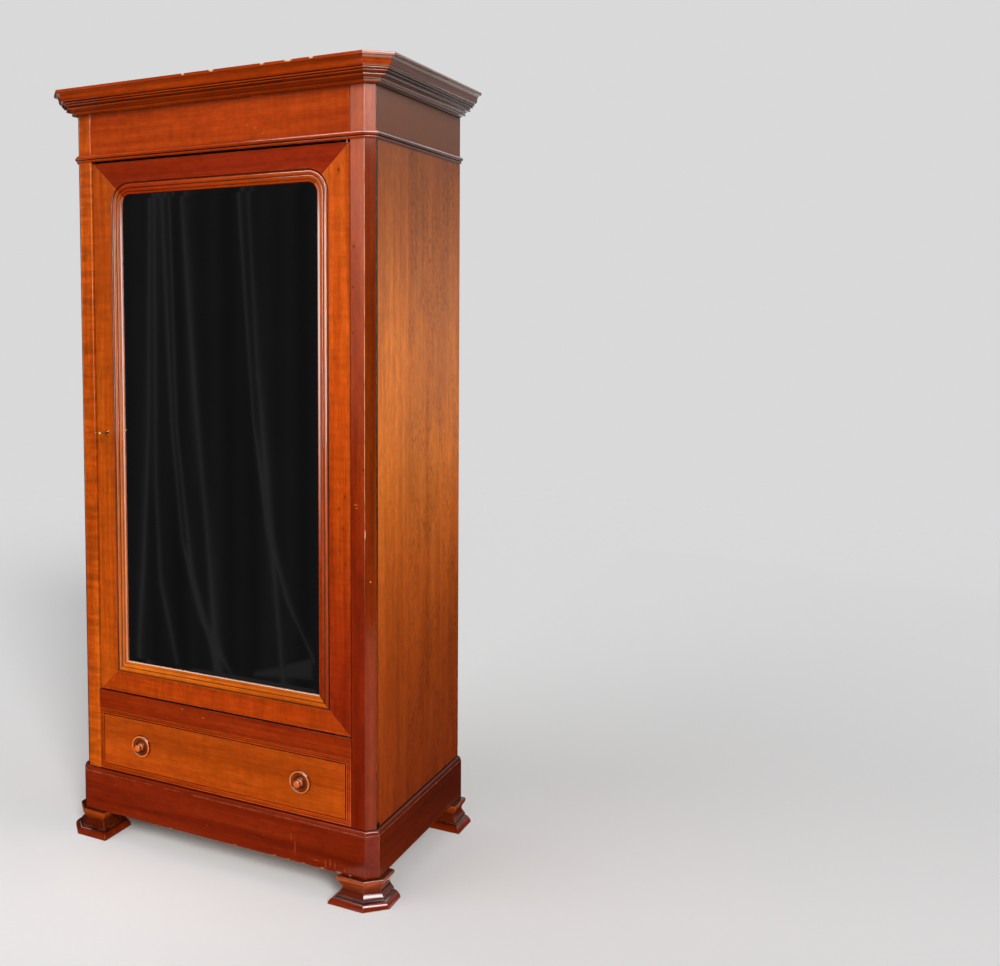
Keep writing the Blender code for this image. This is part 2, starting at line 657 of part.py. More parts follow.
def build_drawer(group, finishes):
    low = (-DRAWER_HALF, FRONT, DRAWER_LOW)
    high = (DRAWER_HALF, FRONT + DRAWER_FRONT_THICKNESS, DRAWER_HIGH)
    box("drawer_front", low, high, finishes["golden"], group)
    between = DRAWER_SIDE_IN - FIT
    for side, sign in (("left", -1), ("right", 1)):
        inner, outer = sorted((sign * DRAWER_SIDE_IN, sign * DRAWER_SIDE_OUT))
        low = (inner, DRAWER_BOX_FRONT, DRAWER_SIDE_LOW)
        box(f"drawer_side_{side}", low, (outer, DRAWER_BOX_REAR, DRAWER_SIDE_HIGH), finishes["pale"], group)
        centre = (sign * (DRAWER_HALF - KNOB_INSET), FRONT - FIT, (DRAWER_LOW + DRAWER_HIGH) / 2)
        turned(f"drawer_knob_{side}", KNOB, centre, (0, -1, 0), finishes["golden"], group)
    bottom = DRAWER_SIDE_LOW + DRAWER_BOTTOM_RISE
    panel = bottom + DRAWER_BOTTOM_THICKNESS
    low = (-between, DRAWER_BOX_FRONT, bottom)
    box("drawer_bottom", low, (between, DRAWER_BOX_REAR, panel), finishes["sheet"], group)
    low = (-between, DRAWER_BOX_REAR - DRAWER_SIDE_THICKNESS, panel + FIT)
    high = (between, DRAWER_BOX_REAR, DRAWER_SIDE_HIGH - DRAWER_BACK_DROP)
    box("drawer_back", low, high, finishes["pale"], group)


def sight_corner(sign, grow, start=0.0, end=math.pi / 2):
    """Arc of an upper corner of the glass, outline grown outwards, from its side up to its head."""
    radius = SIGHT_RADIUS + grow
    x = sign * (SIGHT_HALF - SIGHT_RADIUS)
    z = SIGHT_HIGH - SIGHT_RADIUS
    arc = []
    for step in range(CORNER_STEPS + 1):
        turn = start + (end - start) * step / CORNER_STEPS
        arc.append((x + sign * radius * math.cos(turn), z + radius * math.sin(turn)))
    return arc


def sight_outline(grow):
    """Outline of the glass in sight, grown outwards: round above, square below."""
    half = SIGHT_HALF + grow
    low = SIGHT_LOW - grow
    return [(-half, low), (half, low)] + sight_corner(1, grow) + sight_corner(-1, grow)[::-1]


def build_door_frame(group, finishes):
    grow = MOULDING_WIDTH + FIT
    mitre = math.pi / 4
    joint = 2 * FIT
    inner_half = SIGHT_HALF + grow
    inner_low = SIGHT_LOW - grow
    frame = {}
    for side, sign in (("left", -1), ("right", 1)):
        outline = [(sign * DOOR_HALF, Z_DOOR), (sign * DOOR_HALF, Z_DOOR_TOP)]
        outline += sight_corner(sign, grow, mitre, 0.0)
        outline.append((sign * inner_half, inner_low))
        frame[side] = through(f"door_stile_{side}", outline, DOOR_FACE, DOOR_BACK, finishes["golden"], group)
    past_mitre = mitre + joint / (SIGHT_RADIUS + grow)
    right = sight_corner(1, grow, past_mitre)
    left = [(-x, z) for x, z in right]
    edge = DOOR_HALF - joint
    outline = [(edge, Z_DOOR_TOP)] + right + left[::-1] + [(-edge, Z_DOOR_TOP)]
    frame["top"] = through("door_rail_top", outline, DOOR_FACE, DOOR_BACK, finishes["red"], group)
    inner = inner_half - joint
    outline = [(-edge, Z_DOOR), (edge, Z_DOOR), (inner, inner_low), (-inner, inner_low)]
    frame["bottom"] = through("door_rail_bottom", outline, DOOR_FACE, DOOR_BACK, finishes["red"], group)
    return frame


def mirror_moulding_profile():
    """Across the moulding from the glass outwards, as (distance, depth behind the door face)."""
    slope = MOULDING_WIDTH - MIRROR_SLOPE
    outer = slope - MIRROR_OUTER_BEAD
    inner = outer - MIRROR_INNER_BEAD
    profile = [(0.0, MOULDING_DEPTH), (0.0, MIRROR_LIP)]
    profile += bead_row(inner, MIRROR_INNER_BEAD, MIRROR_QUIRK, MIRROR_INNER_CREST)
    profile += bead_row(outer, MIRROR_OUTER_BEAD, MIRROR_QUIRK, 0.0)[1:]
    for turn in quarter():
        profile.append((slope + MIRROR_SLOPE * math.sin(turn), MIRROR_QUIRK * math.cos(turn)))
    profile.append((MOULDING_WIDTH, MOULDING_DEPTH))
    return profile


def build_mirror(group, finishes):
    loops = []
    for grow, depth in mirror_moulding_profile():
        loops.append([(x, DOOR_FACE + depth, z) for x, z in sight_outline(grow)])
    ring("mirror_moulding", loops, finishes["golden"], group, smooth=True)
    face = DOOR_FACE + MOULDING_DEPTH + FIT
    back = face + MIRROR_THICKNESS
    sections = ((-MIRROR_BEVEL, face), (MIRROR_LAP, face + MIRROR_BEVEL_DROP), (MIRROR_LAP, back))
    loops = [[(x, y, z) for x, z in sight_outline(grow)] for grow, y in sections]
    loft("mirror", loops, finishes["mirror"], group)
    board = back + FIT
    outline = sight_outline(MOULDING_WIDTH)
    through("mirror_backing", outline, board, board + BACKING_THICKNESS, finishes["sheet"], group)


def plate_corners(low, high, grow=0.0):
    start = (HINGE_X + PLATE_OVERHANG - PLATE_LENGTH - grow, HINGE_Y - PLATE_WIDTH / 2 - grow, low)
    end = (HINGE_X + PLATE_OVERHANG + grow, HINGE_Y + PLATE_WIDTH / 2 + grow, high)
    return start, end


def pin_rod(name, radius, low, high, finish, group):
    return turned(name, [(radius, low), (radius, high)], (HINGE_X, HINGE_Y, 0.0), (0, 0, 1), finish, group)


def build_hinge(level, seat, edge, up, pieces, groups, finishes):
    """A plate and pin let into the case at seat, and a socket plate let into the door at edge.

    up is 1 where the pin points upwards. pieces are the case piece and the door pieces that are cut.
    """
    case_group, door_group = groups
    case_piece, door_pieces = pieces
    steel = finishes["steel"]
    rooted = seat - up * PLATE_THICKNESS
    inside = edge + up * PLATE_THICKNESS
    tip = edge + up * PIN_REACH
    plate = box(f"hinge_{level}_plate", *plate_corners(*sorted((rooted, seat))), steel, case_group)
    pin_span = sorted((seat - up * PLATE_THICKNESS / 2, tip))
    combine(plate, pin_rod(f"hinge_{level}_pin", PIN_RADIUS, *pin_span, steel, case_group), "UNION")
    socket = box(f"hinge_{level}_socket", *plate_corners(*sorted((edge, inside))), steel, door_group)
    hole_span = sorted((edge - up * PLATE_THICKNESS, inside + up * PLATE_THICKNESS))
    hole = pin_rod(f"hinge_{level}_hole", PIN_RADIUS + PIN_PLAY, *hole_span, steel, door_group)
    combine(socket, hole, "DIFFERENCE")
    case_span = sorted((rooted - up * FIT, seat + up * PLATE_THICKNESS))
    mortise = box(f"hinge_{level}_case_mortise", *plate_corners(*case_span, FIT), steel, case_group)
    combine(case_piece, mortise, "DIFFERENCE")
    door_span = sorted((edge - up * PLATE_THICKNESS, inside + up * FIT))
    recess = box(f"hinge_{level}_door_mortise", *plate_corners(*door_span, FIT), steel, door_group)
    bore_span = sorted((edge - up * PLATE_THICKNESS, tip + up * PIN_ROOM))
    bore = pin_rod(f"hinge_{level}_bore", PIN_RADIUS + PIN_ROOM, *bore_span, steel, door_group)
    for piece in door_pieces:
        combine(piece, recess, "DIFFERENCE")
        combine(piece, bore, "DIFFERENCE")


def keyhole_outline(grow):
    """Round hole with a slot below it, grown outwards, round the key's axis."""
    radius = KEYHOLE_RADIUS + grow
    half = KEYHOLE_SLOT / 2 + grow
    foot = KEY_Z - KEYHOLE_DROP - grow
    start = math.asin(half / radius)
    sweep = 2 * (math.pi - start)
    outline = [(KEY_X + half, foot)]
    for step in range(ROUND_STEPS + 1):
        turn = -math.pi / 2 + start + sweep * step / ROUND_STEPS
        outline.append((KEY_X + radius * math.cos(turn), KEY_Z + radius * math.sin(turn)))
    outline.append((KEY_X - half, foot))
    return outline


def build_lock(stile, group, finishes):
    brass = finishes["brass"]
    hole = through("keyhole_cut", keyhole_outline(0.0), DOOR_FACE - FIT, DOOR_BACK + FIT, brass, group)
    combine(stile, hole, "DIFFERENCE")
    front = DOOR_FACE - FIT - ESCUTCHEON_THICKNESS
    back = DOOR_FACE - FIT
    rims = ((0.0, back), (0.0, front), (ESCUTCHEON_RIM, front), (ESCUTCHEON_RIM, back))
    ring("escutcheon", [[(x, y, z) for x, z in keyhole_outline(grow)] for grow, y in rims], brass, group)
    low = (BOLT_LEFT, LOCK_FRONT, KEY_Z - LOCK_BELOW_KEY)
    high = (BOLT_LEFT + LOCK_WIDTH, LOCK_FRONT + LOCK_DEPTH, KEY_Z + LOCK_ABOVE_KEY)
    case = box("lock_case", low, high, finishes["steel"], group)
    room_low = (low[0] + LOCK_WALL, low[1] - LOCK_WALL, low[2] + LOCK_WALL)
    room_high = (high[0] - LOCK_WALL, high[1] - LOCK_WALL, high[2] - LOCK_WALL)
    combine(case, box("lock_room", room_low, room_high, brass, group), "DIFFERENCE")
    bolt_low = KEY_Z + BOLT_RISE
    bolt_high = bolt_low + BOLT_HEIGHT
    bolt_back = BOLT_FRONT + BOLT_THICKNESS
    slot_low = (low[0] - LOCK_WALL, BOLT_FRONT - BOLT_PLAY, bolt_low - BOLT_PLAY)
    slot_high = (room_low[0] + LOCK_WALL, bolt_back + BOLT_PLAY, bolt_high + BOLT_PLAY)
    combine(case, box("lock_slot", slot_low, slot_high, brass, group), "DIFFERENCE")


def build_bolt(group, finishes):
    low = KEY_Z + BOLT_RISE
    high = low + BOLT_HEIGHT
    notch = KEY_X + (BOLT_THROW - TALON_WIDTH) / 2
    right = BOLT_LEFT + BOLT_LENGTH
    outline = [
        (BOLT_LEFT, low), (notch, low), (notch, low + TALON_DEPTH), (notch + TALON_WIDTH, low + TALON_DEPTH),
        (notch + TALON_WIDTH, low), (right, low), (right, high), (BOLT_LEFT, high),
    ]
    through("lock_bolt", outline, BOLT_FRONT, BOLT_FRONT + BOLT_THICKNESS, finishes["steel"], group)


def build_key(group, finishes):
    brass = finishes["brass"]
    end = DOOR_FACE - KEY_PROUD
    tip = LOCK_FRONT + LOCK_DEPTH - LOCK_WALL - KEY_TIP_GAP
    bow_middle = end + BOW_LENGTH / 2
    root = end + BOW_LENGTH - BOW_BAR / 2
    key = turned("key", [(KEY_RADIUS, root), (KEY_RADIUS, tip)], (KEY_X, 0.0, KEY_Z), (0, 1, 0), brass, group)
    bit_middle = BOLT_FRONT + BOLT_THICKNESS / 2
    low = (KEY_X, bit_middle - KEY_BIT_WIDTH / 2, KEY_Z - KEY_BIT_THICKNESS / 2)
    high = (KEY_X + KEY_BIT_REACH, bit_middle + KEY_BIT_WIDTH / 2, KEY_Z + KEY_BIT_THICKNESS / 2)
    combine(key, box("key_bit", low, high, brass, group), "UNION")
    half = BOW_THICKNESS / 2
    loops = []
    for inset, rise in ((0.0, -half), (0.0, half), (BOW_BAR, half), (BOW_BAR, -half)):
        wide = BOW_WIDTH / 2 - inset
        long = BOW_LENGTH / 2 - inset
        spots = [(KEY_X + wide * math.cos(turn), bow_middle + long * math.sin(turn)) for turn in turns()]
        loops.append([(x, y, KEY_Z + rise) for x, y in spots])
    combine(key, ring("key_bow", loops, brass, group), "UNION")


def main():
    clear_scene()
    finishes = make_finishes()
    case = Group("case", (0.0, 0.0, 0.0))
    door = Group("door", (HINGE_X, HINGE_Y, Z_DOOR), case)
    drawer = Group("drawer", (0.0, FRONT, DRAWER_LOW), case)
    bolt = Group("bolt", (BOLT_LEFT, BOLT_FRONT, KEY_Z + BOLT_RISE), door)
    key = Group("key_turn", (KEY_X, DOOR_FACE, KEY_Z), door)
    build_feet(case, finishes)
    build_plinth(case, finishes)
    build_posts(case, finishes)
    build_back(case, finishes)
    build_case_boards(case, finishes)
    rail, frieze = build_front_boards(case, finishes)
    build_surround(case, finishes)
    build_mouldings(case, finishes)
    build_fittings(case, finishes)
    build_runners(case, finishes)
    build_drawer(drawer, finishes)
    frame = build_door_frame(door, finishes)
    build_mirror(door, finishes)
    groups = (case, door)
    build_hinge("bottom", Z_RAIL_TOP, Z_DOOR, 1, (rail, (frame["bottom"], frame["right"])), groups, finishes)
    build_hinge("top", Z_HEAD, Z_DOOR_TOP, -1, (frieze, (frame["top"], frame["right"])), groups, finishes)
    build_lock(frame["left"], door, finishes)
    build_bolt(bolt, finishes)
    build_key(key, finishes)


main()
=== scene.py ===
"""Looks of the mirrored armoire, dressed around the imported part.

Metres in the part's own frame: +Z is up, the front faces -Y and the floor is at zero.
Azimuths are in degrees to the right of the front, and elevations in degrees above the level.
Colours are written as red, green and blue from 0 to 255, as they show on a screen.
Light values are factors for the three colours.
"""

import math

import bpy
from mathutils import Matrix, Vector


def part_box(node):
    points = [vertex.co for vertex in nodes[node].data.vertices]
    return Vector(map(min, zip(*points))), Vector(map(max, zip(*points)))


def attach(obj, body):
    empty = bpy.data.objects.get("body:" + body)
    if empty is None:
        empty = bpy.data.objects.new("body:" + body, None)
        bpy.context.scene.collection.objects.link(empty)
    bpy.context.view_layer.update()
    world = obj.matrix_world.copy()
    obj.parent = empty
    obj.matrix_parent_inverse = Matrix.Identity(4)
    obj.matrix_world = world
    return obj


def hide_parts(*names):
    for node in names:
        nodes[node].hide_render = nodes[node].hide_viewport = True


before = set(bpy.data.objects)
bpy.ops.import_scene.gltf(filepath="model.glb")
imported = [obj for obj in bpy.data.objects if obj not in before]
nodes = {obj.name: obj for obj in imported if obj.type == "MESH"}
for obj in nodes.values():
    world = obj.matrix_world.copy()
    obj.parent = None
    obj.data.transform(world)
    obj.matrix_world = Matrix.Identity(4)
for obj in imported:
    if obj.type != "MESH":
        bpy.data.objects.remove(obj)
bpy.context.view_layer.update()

# Camera, as solved on the photograph
IMAGE_WIDTH = 1000
IMAGE_HEIGHT = 966
SENSOR_MM = 36.0
FOCAL_PIXELS = 1134.3
PRINCIPAL_POINT = (308.4, 387.9)
CAMERA_PLACE = (1.6700, -2.7350, 1.4786)
CAMERA_AZIMUTH = math.radians(29.164)
CAMERA_PITCH = math.radians(3.623)  # downwards
CAMERA_ROLL = math.radians(-0.262)

# Places on the part
FRONT = -0.25315  # faces of the posts, frieze and drawer
DOOR_FACE = -0.24715
PLINTH_FACE = -0.2650
CORNICE_FACE = -0.3165  # upper front edge of the cornice
CASE_HALF = 0.463
CANT = 0.021
CANT_LEAN = math.tan(math.radians(22.5))
SIGHT_HALF = 0.3065  # edges of the visible glass
SIGHT_LOW = 0.5115
SIGHT_HIGH = 1.8125
SIGHT_RADIUS = 0.028
CASE_FOOT = 0.1903  # upper edge of the plinth
HEAD = 1.907  # lower edge of the frieze
FOOT_TOP = 0.0695
RAIL_TOP = 0.420  # upper edge of the rail between the door and the drawer
DRAWER_HALF = 0.385  # edges of the drawer front
DRAWER_LOW = 0.2086
DRAWER_HIGH = 0.350
GROOVE_START = FRONT + 0.0218  # shadow groove between the posts and the side panels
GROOVE_END = FRONT + 0.0256
GAP_DEPTH = -0.2230  # dark gap at the foot of the side panels
LEAF_SEAM = -0.038  # seam between the two leaves of a side panel
DRAWER_SEAM = 0.276  # glue line across the drawer front
KNOB_PLACES = {"drawer_knob_left": (-0.255, 0.2793), "drawer_knob_right": (0.255, 0.2793)}

# Studio
AMBIENT = 0.28  # strength of the even light from all round
BACKGROUND = (217, 217, 217)
FLOOR_COLOUR = (240, 240, 240)
FLOOR_INNER = 3.0  # where the lit floor starts to fade into the background
FLOOR_OUTER = 8.0  # where it has faded
FLOOR_HALF = 9.6
LAMP_DISTANCE = 5.0
SUNS = (
    # name, azimuth, elevation, width of the disc, strength
    ("key", 42.0, 31.0, 22.0, 2.30),
    ("fill", -42.0, 25.0, 50.0, 1.00),
)
SOFTBOXES = (
    # name, centre, point faced, width, height, strength
    ("front_softbox", (0.76, -2.49, 1.80), (0.2, -0.2, 1.3), 0.32, 1.9, 26.0),
    ("high_softbox", (2.98, -1.02, 3.67), (0.45, -0.25, 0.1), 2.6, 1.1, 20.0),
    ("overhead_softbox", (0.30, -1.00, 3.90), (0.3, -0.3, 0.0), 3.0, 2.4, 11.0),
)
PANELS = (
    # name, azimuth and distance of the two ends, and (height, strength) upwards
    ("screen", (129.1, 4.12), (167.0, 2.67), (
        (0.0, 0.02), (0.6, 0.06), (1.1, 0.40), (1.6, 0.50), (2.1, 0.30), (2.6, 0.40), (3.2, 3.0), (5.5, 4.0),
    )),
    ("cant_panel", (50.0, 3.0), (78.0, 3.0), ((2.29, 6.0), (2.9, 6.0))),
    ("left_panel", (-97.0, 1.40), (-83.0, 1.40), ((0.3, 0.0), (0.8, 2.0), (2.2, 2.5))),
)
SQUARE = ((-1, -1), (1, -1), (1, 1), (-1, 1))

# The dark drape that the mirror and the lacquer reflect
DRAPE_ARCS = (
    # name, first and last azimuth, height, distance
    ("drape_front", -140.0, -4.0, 2.9, 1.45),
    ("drape_right", 42.0, 88.0, 2.28, 3.00),
)
DRAPE_COLUMNS_PER_DEGREE = 8
DRAPE_ROWS = 140
DRAPE_CROWDING = 1.6  # above 1 the rows lie closer together near the floor
DRAPE_FOLDS = (
    # width in degrees, depth, and (height, azimuth) down the fold
    (0.35, 0.018, ((2.9, -37.9), (1.9, -38.0), (1.06, -38.6), (0.59, -39.5), (0.25, -40.4), (0.0, -40.2))),
    (0.35, 0.018, ((2.9, -36.4), (1.9, -36.2), (1.06, -35.1), (0.64, -33.8), (0.33, -30.9), (0.0, -24.0))),
    (0.30, 0.014, ((2.9, -35.2), (1.9, -35.1), (1.06, -34.4), (0.5, -32.4), (0.0, -27.0))),
    (0.55, 0.022, ((2.9, -33.6), (1.9, -33.3), (1.15, -31.6), (0.68, -30.1), (0.0, -28.4))),
    (0.32, 0.020, ((2.9, -25.2), (1.9, -24.9), (1.09, -23.0), (0.7, -21.0), (0.41, -18.0), (0.0, -10.5))),
    (0.50, 0.012, ((2.9, -23.6), (1.9, -23.5), (1.3, -22.4), (0.0, -18.5))),
    (0.45, 0.012, ((2.9, -37.0), (0.87, -37.6), (0.49, -37.1), (0.0, -33.5))),
)
# the drape glows: its tones are painted light, paler along the folds and where it heaps
DRAPE_TONES = ((19, 19, 20), (25, 25, 26), (40, 40, 41))
DRAPE_STOPS = (0.0, 0.4, 1.0)
CLOTH_PALE = 0.20  # how pale the cloth is between the folds
CLOTH_WAVES = ((0.10, 1.7, 0.0), (0.08, 0.61, 1.0))  # soft bands: amount, pace, start
FOLD_PALE = 0.8
DRAPE_HEAP = (-23.4, -14.2, 0.113, 0.134, 0.200, 0.85)  # azimuths, foot, top at both ends, how pale
HEAP_SOFT = 0.022
TRAIN_ARCS = ((-140.0, 38.0, 2.4), (82.0, 180.0, 4.5))  # cloth on the floor: azimuths, outer edge
TRAIN_INNER = 0.30
TRAIN_LEVEL = 0.003
TRAIN_STEPS = 48
TRAIN_TONE = (38, 37, 36)

# Edges
FACET_ANGLE = math.radians(24)  # facets that bend less than this are shaded as one curve
JOIN_DISTANCE = 0.00001
ROUND_SEGMENTS = 2
FINE_ROUNDING = 0.0003
PLAIN_ROUNDING = 0.0008

# Tones of the materials, from dark to light
AMBER = ((158, 52, 2), (202, 84, 12), (226, 112, 30))
GOLDEN = ((138, 44, 0), (178, 72, 4), (204, 98, 14))
ORANGE = ((124, 34, 0), (168, 57, 2), (194, 80, 8))
RED = ((96, 20, 0), (136, 38, 2), (164, 56, 6))
DEEP = ((86, 18, 0), (122, 34, 2), (148, 50, 6))
# lighter tones for the side panels: painted light that makes up for the weaker light on the sides
SIDE = ((160, 76, 10), (216, 112, 28), (240, 142, 48))
HONEY = ((136, 50, 2), (182, 78, 6), (212, 112, 24))
OLIVE = ((124, 42, 0), (166, 64, 2), (190, 86, 12))
# a darker, duller copy of the cherry, for the head rail and for painted shade on the side mouldings
UMBER = ((62, 24, 10), (104, 48, 24), (136, 72, 42))
ROSY = ((166, 66, 18), (214, 108, 46), (236, 146, 80))
PALE = ((176, 128, 78), (205, 162, 108), (220, 182, 130))
PLY = ((142, 98, 58), (170, 124, 78), (188, 144, 96))
BRASS = ((122, 88, 40), (188, 148, 76), (222, 188, 116))
STEEL = ((118, 112, 104), (158, 155, 150), (182, 180, 176))
SILVER = ((222, 222, 223), (234, 234, 235))

# Colours of marks and wear, and of painted highlights, reflections and shade
BARE_WOOD = (236, 204, 168)
BARE_CHIP = (234, 202, 164)
# bright edges: rubbed lacquer and painted highlight
WORN_EDGE_AND_HIGHLIGHT = (226, 140, 84)
# painted highlight down the posts' arrises
ARRIS_HIGHLIGHT = (244, 190, 150)
# painted reflection on the upper part of the right post's face
POST_REFLECTION = (224, 192, 174)
# painted highlights on the mouldings
DULL_HIGHLIGHT = (206, 188, 178)
CREAM_HIGHLIGHT = (246, 206, 172)
PALE_HIGHLIGHT = (250, 222, 200)
GREY_HIGHLIGHT = (238, 226, 220)
# near black: painted shade in grooves and gaps, and a few dark marks
SHADE_AND_GRIME = (16, 5, 2)
SIDE_FRIEZE = (110, 62, 36)
FRIEZE_MARK = (205, 98, 30)
RAIL_MARK = (196, 92, 34)
PLINTH_CHIP = (206, 132, 84)
PLINTH_SCRATCH = (186, 104, 58)

# Finishes: roughness, weight of the coat, roughness of the coat
LACQUER = (0.30, 0.55, 0.10)
SATIN = (0.40, 0.50, 0.24)
MOULDING_GLOSS = (0.26, 1.0, 0.08)
FRAME_GLOSS = (0.24, 1.0, 0.07)
KNOB_GLOSS = (0.22, 1.0, 0.06)

# Wear and painted highlight on edges, and painted shade in grooves: reach, amount
BOARD_EDGES = (0.0016, 0.45)
FOOT_EDGES = (0.0014, 0.75)
KNOB_EDGES = (0.0016, 0.5)
MOULDING_HOLLOW_SHADE = (0.008, 0.9)
FOOT_HOLLOW_SHADE = (0.020, 0.9)
FRAME_HOLLOW_SHADE = (0.006, 0.6)
KNOB_HOLLOW_SHADE = (0.007, 0.5)

TEXTURES = {
    # scale along the grain and across it, seed, detail, roughness, distortion
    "rings": (1.2, 42.0, 0.0, 4.0, 0.58, 0.25),
    "broad": (1.5, 7.0, 3.1, 2.0, 0.5, 0.0),
    "fibre": (9.0, 330.0, 5.7, 3.0, 0.6, 0.0),
    "pores": (60.0, 560.0, 9.2, 2.0, 0.5, 0.0),
    "cloud": (26.0, 60.0, 1.7, 3.0, 0.6, 0.5),
    "ripple": (72.0, 12.0, 13.4, 2.0, 0.5, 0.4),
    "dashes": (55.0, 300.0, 17.3, 2.0, 0.6, 0.0),
    "patches": (5.0, 11.0, 21.9, 2.0, 0.5, 0.0),
    "torn": (450.0, 450.0, 0.0, 2.0, 0.5, 0.0),
    "rubbed": (38.0, 38.0, 27.0, 3.0, 0.6, 0.0),
    "broken_shine": (30.0, 30.0, 31.0, 3.0, 0.6, 0.0),
    "plain rings": (0.9, 17.0, 0.0, 3.0, 0.55, 0.6),
    "plain fibre": (9.0, 320.0, 2.0, 3.0, 0.6, 0.0),
    "plain broad": (3.0, 3.0, 4.0, 2.0, 0.5, 0.0),
    "ply waves": (1.6, 9.0, 0.0, 4.0, 0.6, 1.6),
    "ply fibre": (14.0, 420.0, 2.0, 2.0, 0.6, 0.0),
    "tarnish": (160.0, 160.0, 0.0, 3.0, 0.6, 0.0),
    "rub": (900.0, 900.0, 2.0, 2.0, 0.5, 0.0),
    "brushing": (60.0, 900.0, 0.0, 2.0, 0.5, 0.0),
    "stains": (45.0, 45.0, 3.0, 3.0, 0.6, 0.0),
    "haze": (5.0, 5.0, 0.0, 3.0, 0.6, 0.0),
}
SEED_STEP = 3.7
EDGE_SAMPLES = 4
HOLLOW_SAMPLES = 8
MIX_SOCKETS = {"RGBA": (6, 7, 2), "VECTOR": (4, 5, 1)}  # two inputs and the output of a Mix node
FAR = 1000.0  # a size at which an axis no longer counts

SHADES = {
    # place along the piece, and the light values there; on the posts, side panels, glass frame, knobs and
    # feet they are painted light and shade
    "right post": (
        (0.19, (0.42, 0.22, 0.06)), (0.78, (0.50, 0.32, 0.14)), (1.16, (0.74, 0.64, 0.60)),
        (1.65, (1.0, 1.0, 1.0)),
    ),
    "right cant": (
        (0.19, (0.54, 0.42, 0.06)), (0.78, (0.50, 0.48, 0.30)), (1.16, (0.50, 0.58, 0.80)),
        (1.65, (0.48, 0.48, 0.50)), (HEAD, (0.50, 0.50, 0.50)), (HEAD + 0.008, (0.88, 1.06, 1.0)),
    ),
    "left cant": ((HEAD, (0.74, 0.74, 0.74)), (HEAD + 0.008, (1.0, 1.0, 1.0))),
    "right stile": (
        (0.42, (0.32, 0.12, 0.02)), (0.70, (0.50, 0.26, 0.10)), (1.06, (0.82, 0.66, 0.45)),
        (1.90, (1.0, 1.0, 1.0)),
    ),
    "left stile": ((0.50, (1.0, 1.0, 1.0)), (1.10, (0.84, 0.86, 0.80)), (1.80, (0.97, 0.97, 0.90))),
    "upper rail": ((-0.4, (1.02, 0.88, 0.60)), (0.4, (1.12, 0.92, 0.60))),
    "side": (
        (0.19, (0.36, 0.18, 0.03)), (0.55, (0.52, 0.32, 0.10)), (0.81, (0.76, 0.58, 0.36)),
        (1.10, (1.0, 1.0, 1.0)), (1.40, (0.97, 1.0, 1.0)), (1.65, (0.68, 0.66, 0.66)),
        (1.90, (0.46, 0.42, 0.40)),
    ),
    "plinth front": ((0.07, (0.82, 0.66, 0.50)), (CASE_FOOT, (0.90, 0.74, 0.60))),
    "plinth side": ((-0.25, (0.78, 0.85, 0.80)), (0.02, (0.60, 0.62, 0.60)), (0.30, (0.48, 0.48, 0.48))),
    "foot": (
        (0.0000, (0.50, 0.60, 1.0)), (0.0060, (1.00, 1.00, 1.0)), (0.0140, (0.90, 0.80, 1.0)),
        (0.0172, (0.26, 0.20, 1.0)), (0.0190, (0.20, 0.16, 1.0)), (0.0215, (0.55, 0.50, 1.0)),
        (0.0235, (0.40, 0.35, 1.0)), (0.0300, (0.60, 0.60, 1.0)), (0.0370, (0.50, 0.60, 1.0)),
        (0.0430, (1.00, 1.40, 2.0)), (0.0520, (1.60, 2.60, 4.0)), (0.0640, (1.65, 2.80, 4.0)),
        (FOOT_TOP, (1.30, 2.00, 3.0)),
    ),
    "frame left": ((0.5, (1.10, 1.25, 1.5)), (1.7, (0.90, 0.90, 1.0))),
    "frame right": ((0.5, (0.50, 0.26, 0.5)), (0.9, (0.66, 0.42, 0.6)), (1.5, (0.85, 0.70, 0.8))),
    "frame upper": ((-0.3, (0.72, 0.34, 0.8)), (0.3, (0.95, 0.72, 0.8))),
    "frame lower": ((-0.3, (1.15, 1.30, 1.6)), (0.3, (1.05, 1.10, 1.2))),
    "knob": (
        (0.00, (1.0, 0.95, 0.92)), (0.26, (0.85, 0.75, 0.70)), (0.33, (0.16, 0.10, 0.08)),
        (0.46, (0.10, 0.06, 0.05)), (0.68, (0.30, 0.22, 0.18)), (0.78, (0.14, 0.09, 0.07)),
        (0.83, (1.0, 0.95, 0.92)), (0.93, (1.0, 1.0, 1.0)), (0.965, (0.18, 0.10, 0.08)),
        (1.0, (0.03, 0.015, 0.01)),
    ),
}
GAP_SHADOWS = {
    # where the painted shadow in a gap or groove starts and where it is full
    "groove": (GROOVE_START - 0.0003, GROOVE_START + 0.0003),
    "side foot": (CASE_FOOT + 0.0030, CASE_FOOT + 0.0015),
    "drawer gap": (0.0030, 0.0018),
    "drawer": (FRONT + 0.0008, FRONT + 0.0016),
    "foot": (FOOT_TOP - 0.0006, FOOT_TOP - 0.0002),
    "plinth": (CASE_FOOT - 0.0012, CASE_FOOT - 0.0006),
    "frieze": (HEAD + 0.0012, HEAD + 0.0006),
    "rail": (RAIL_TOP - 0.0008, RAIL_TOP - 0.0003),
}

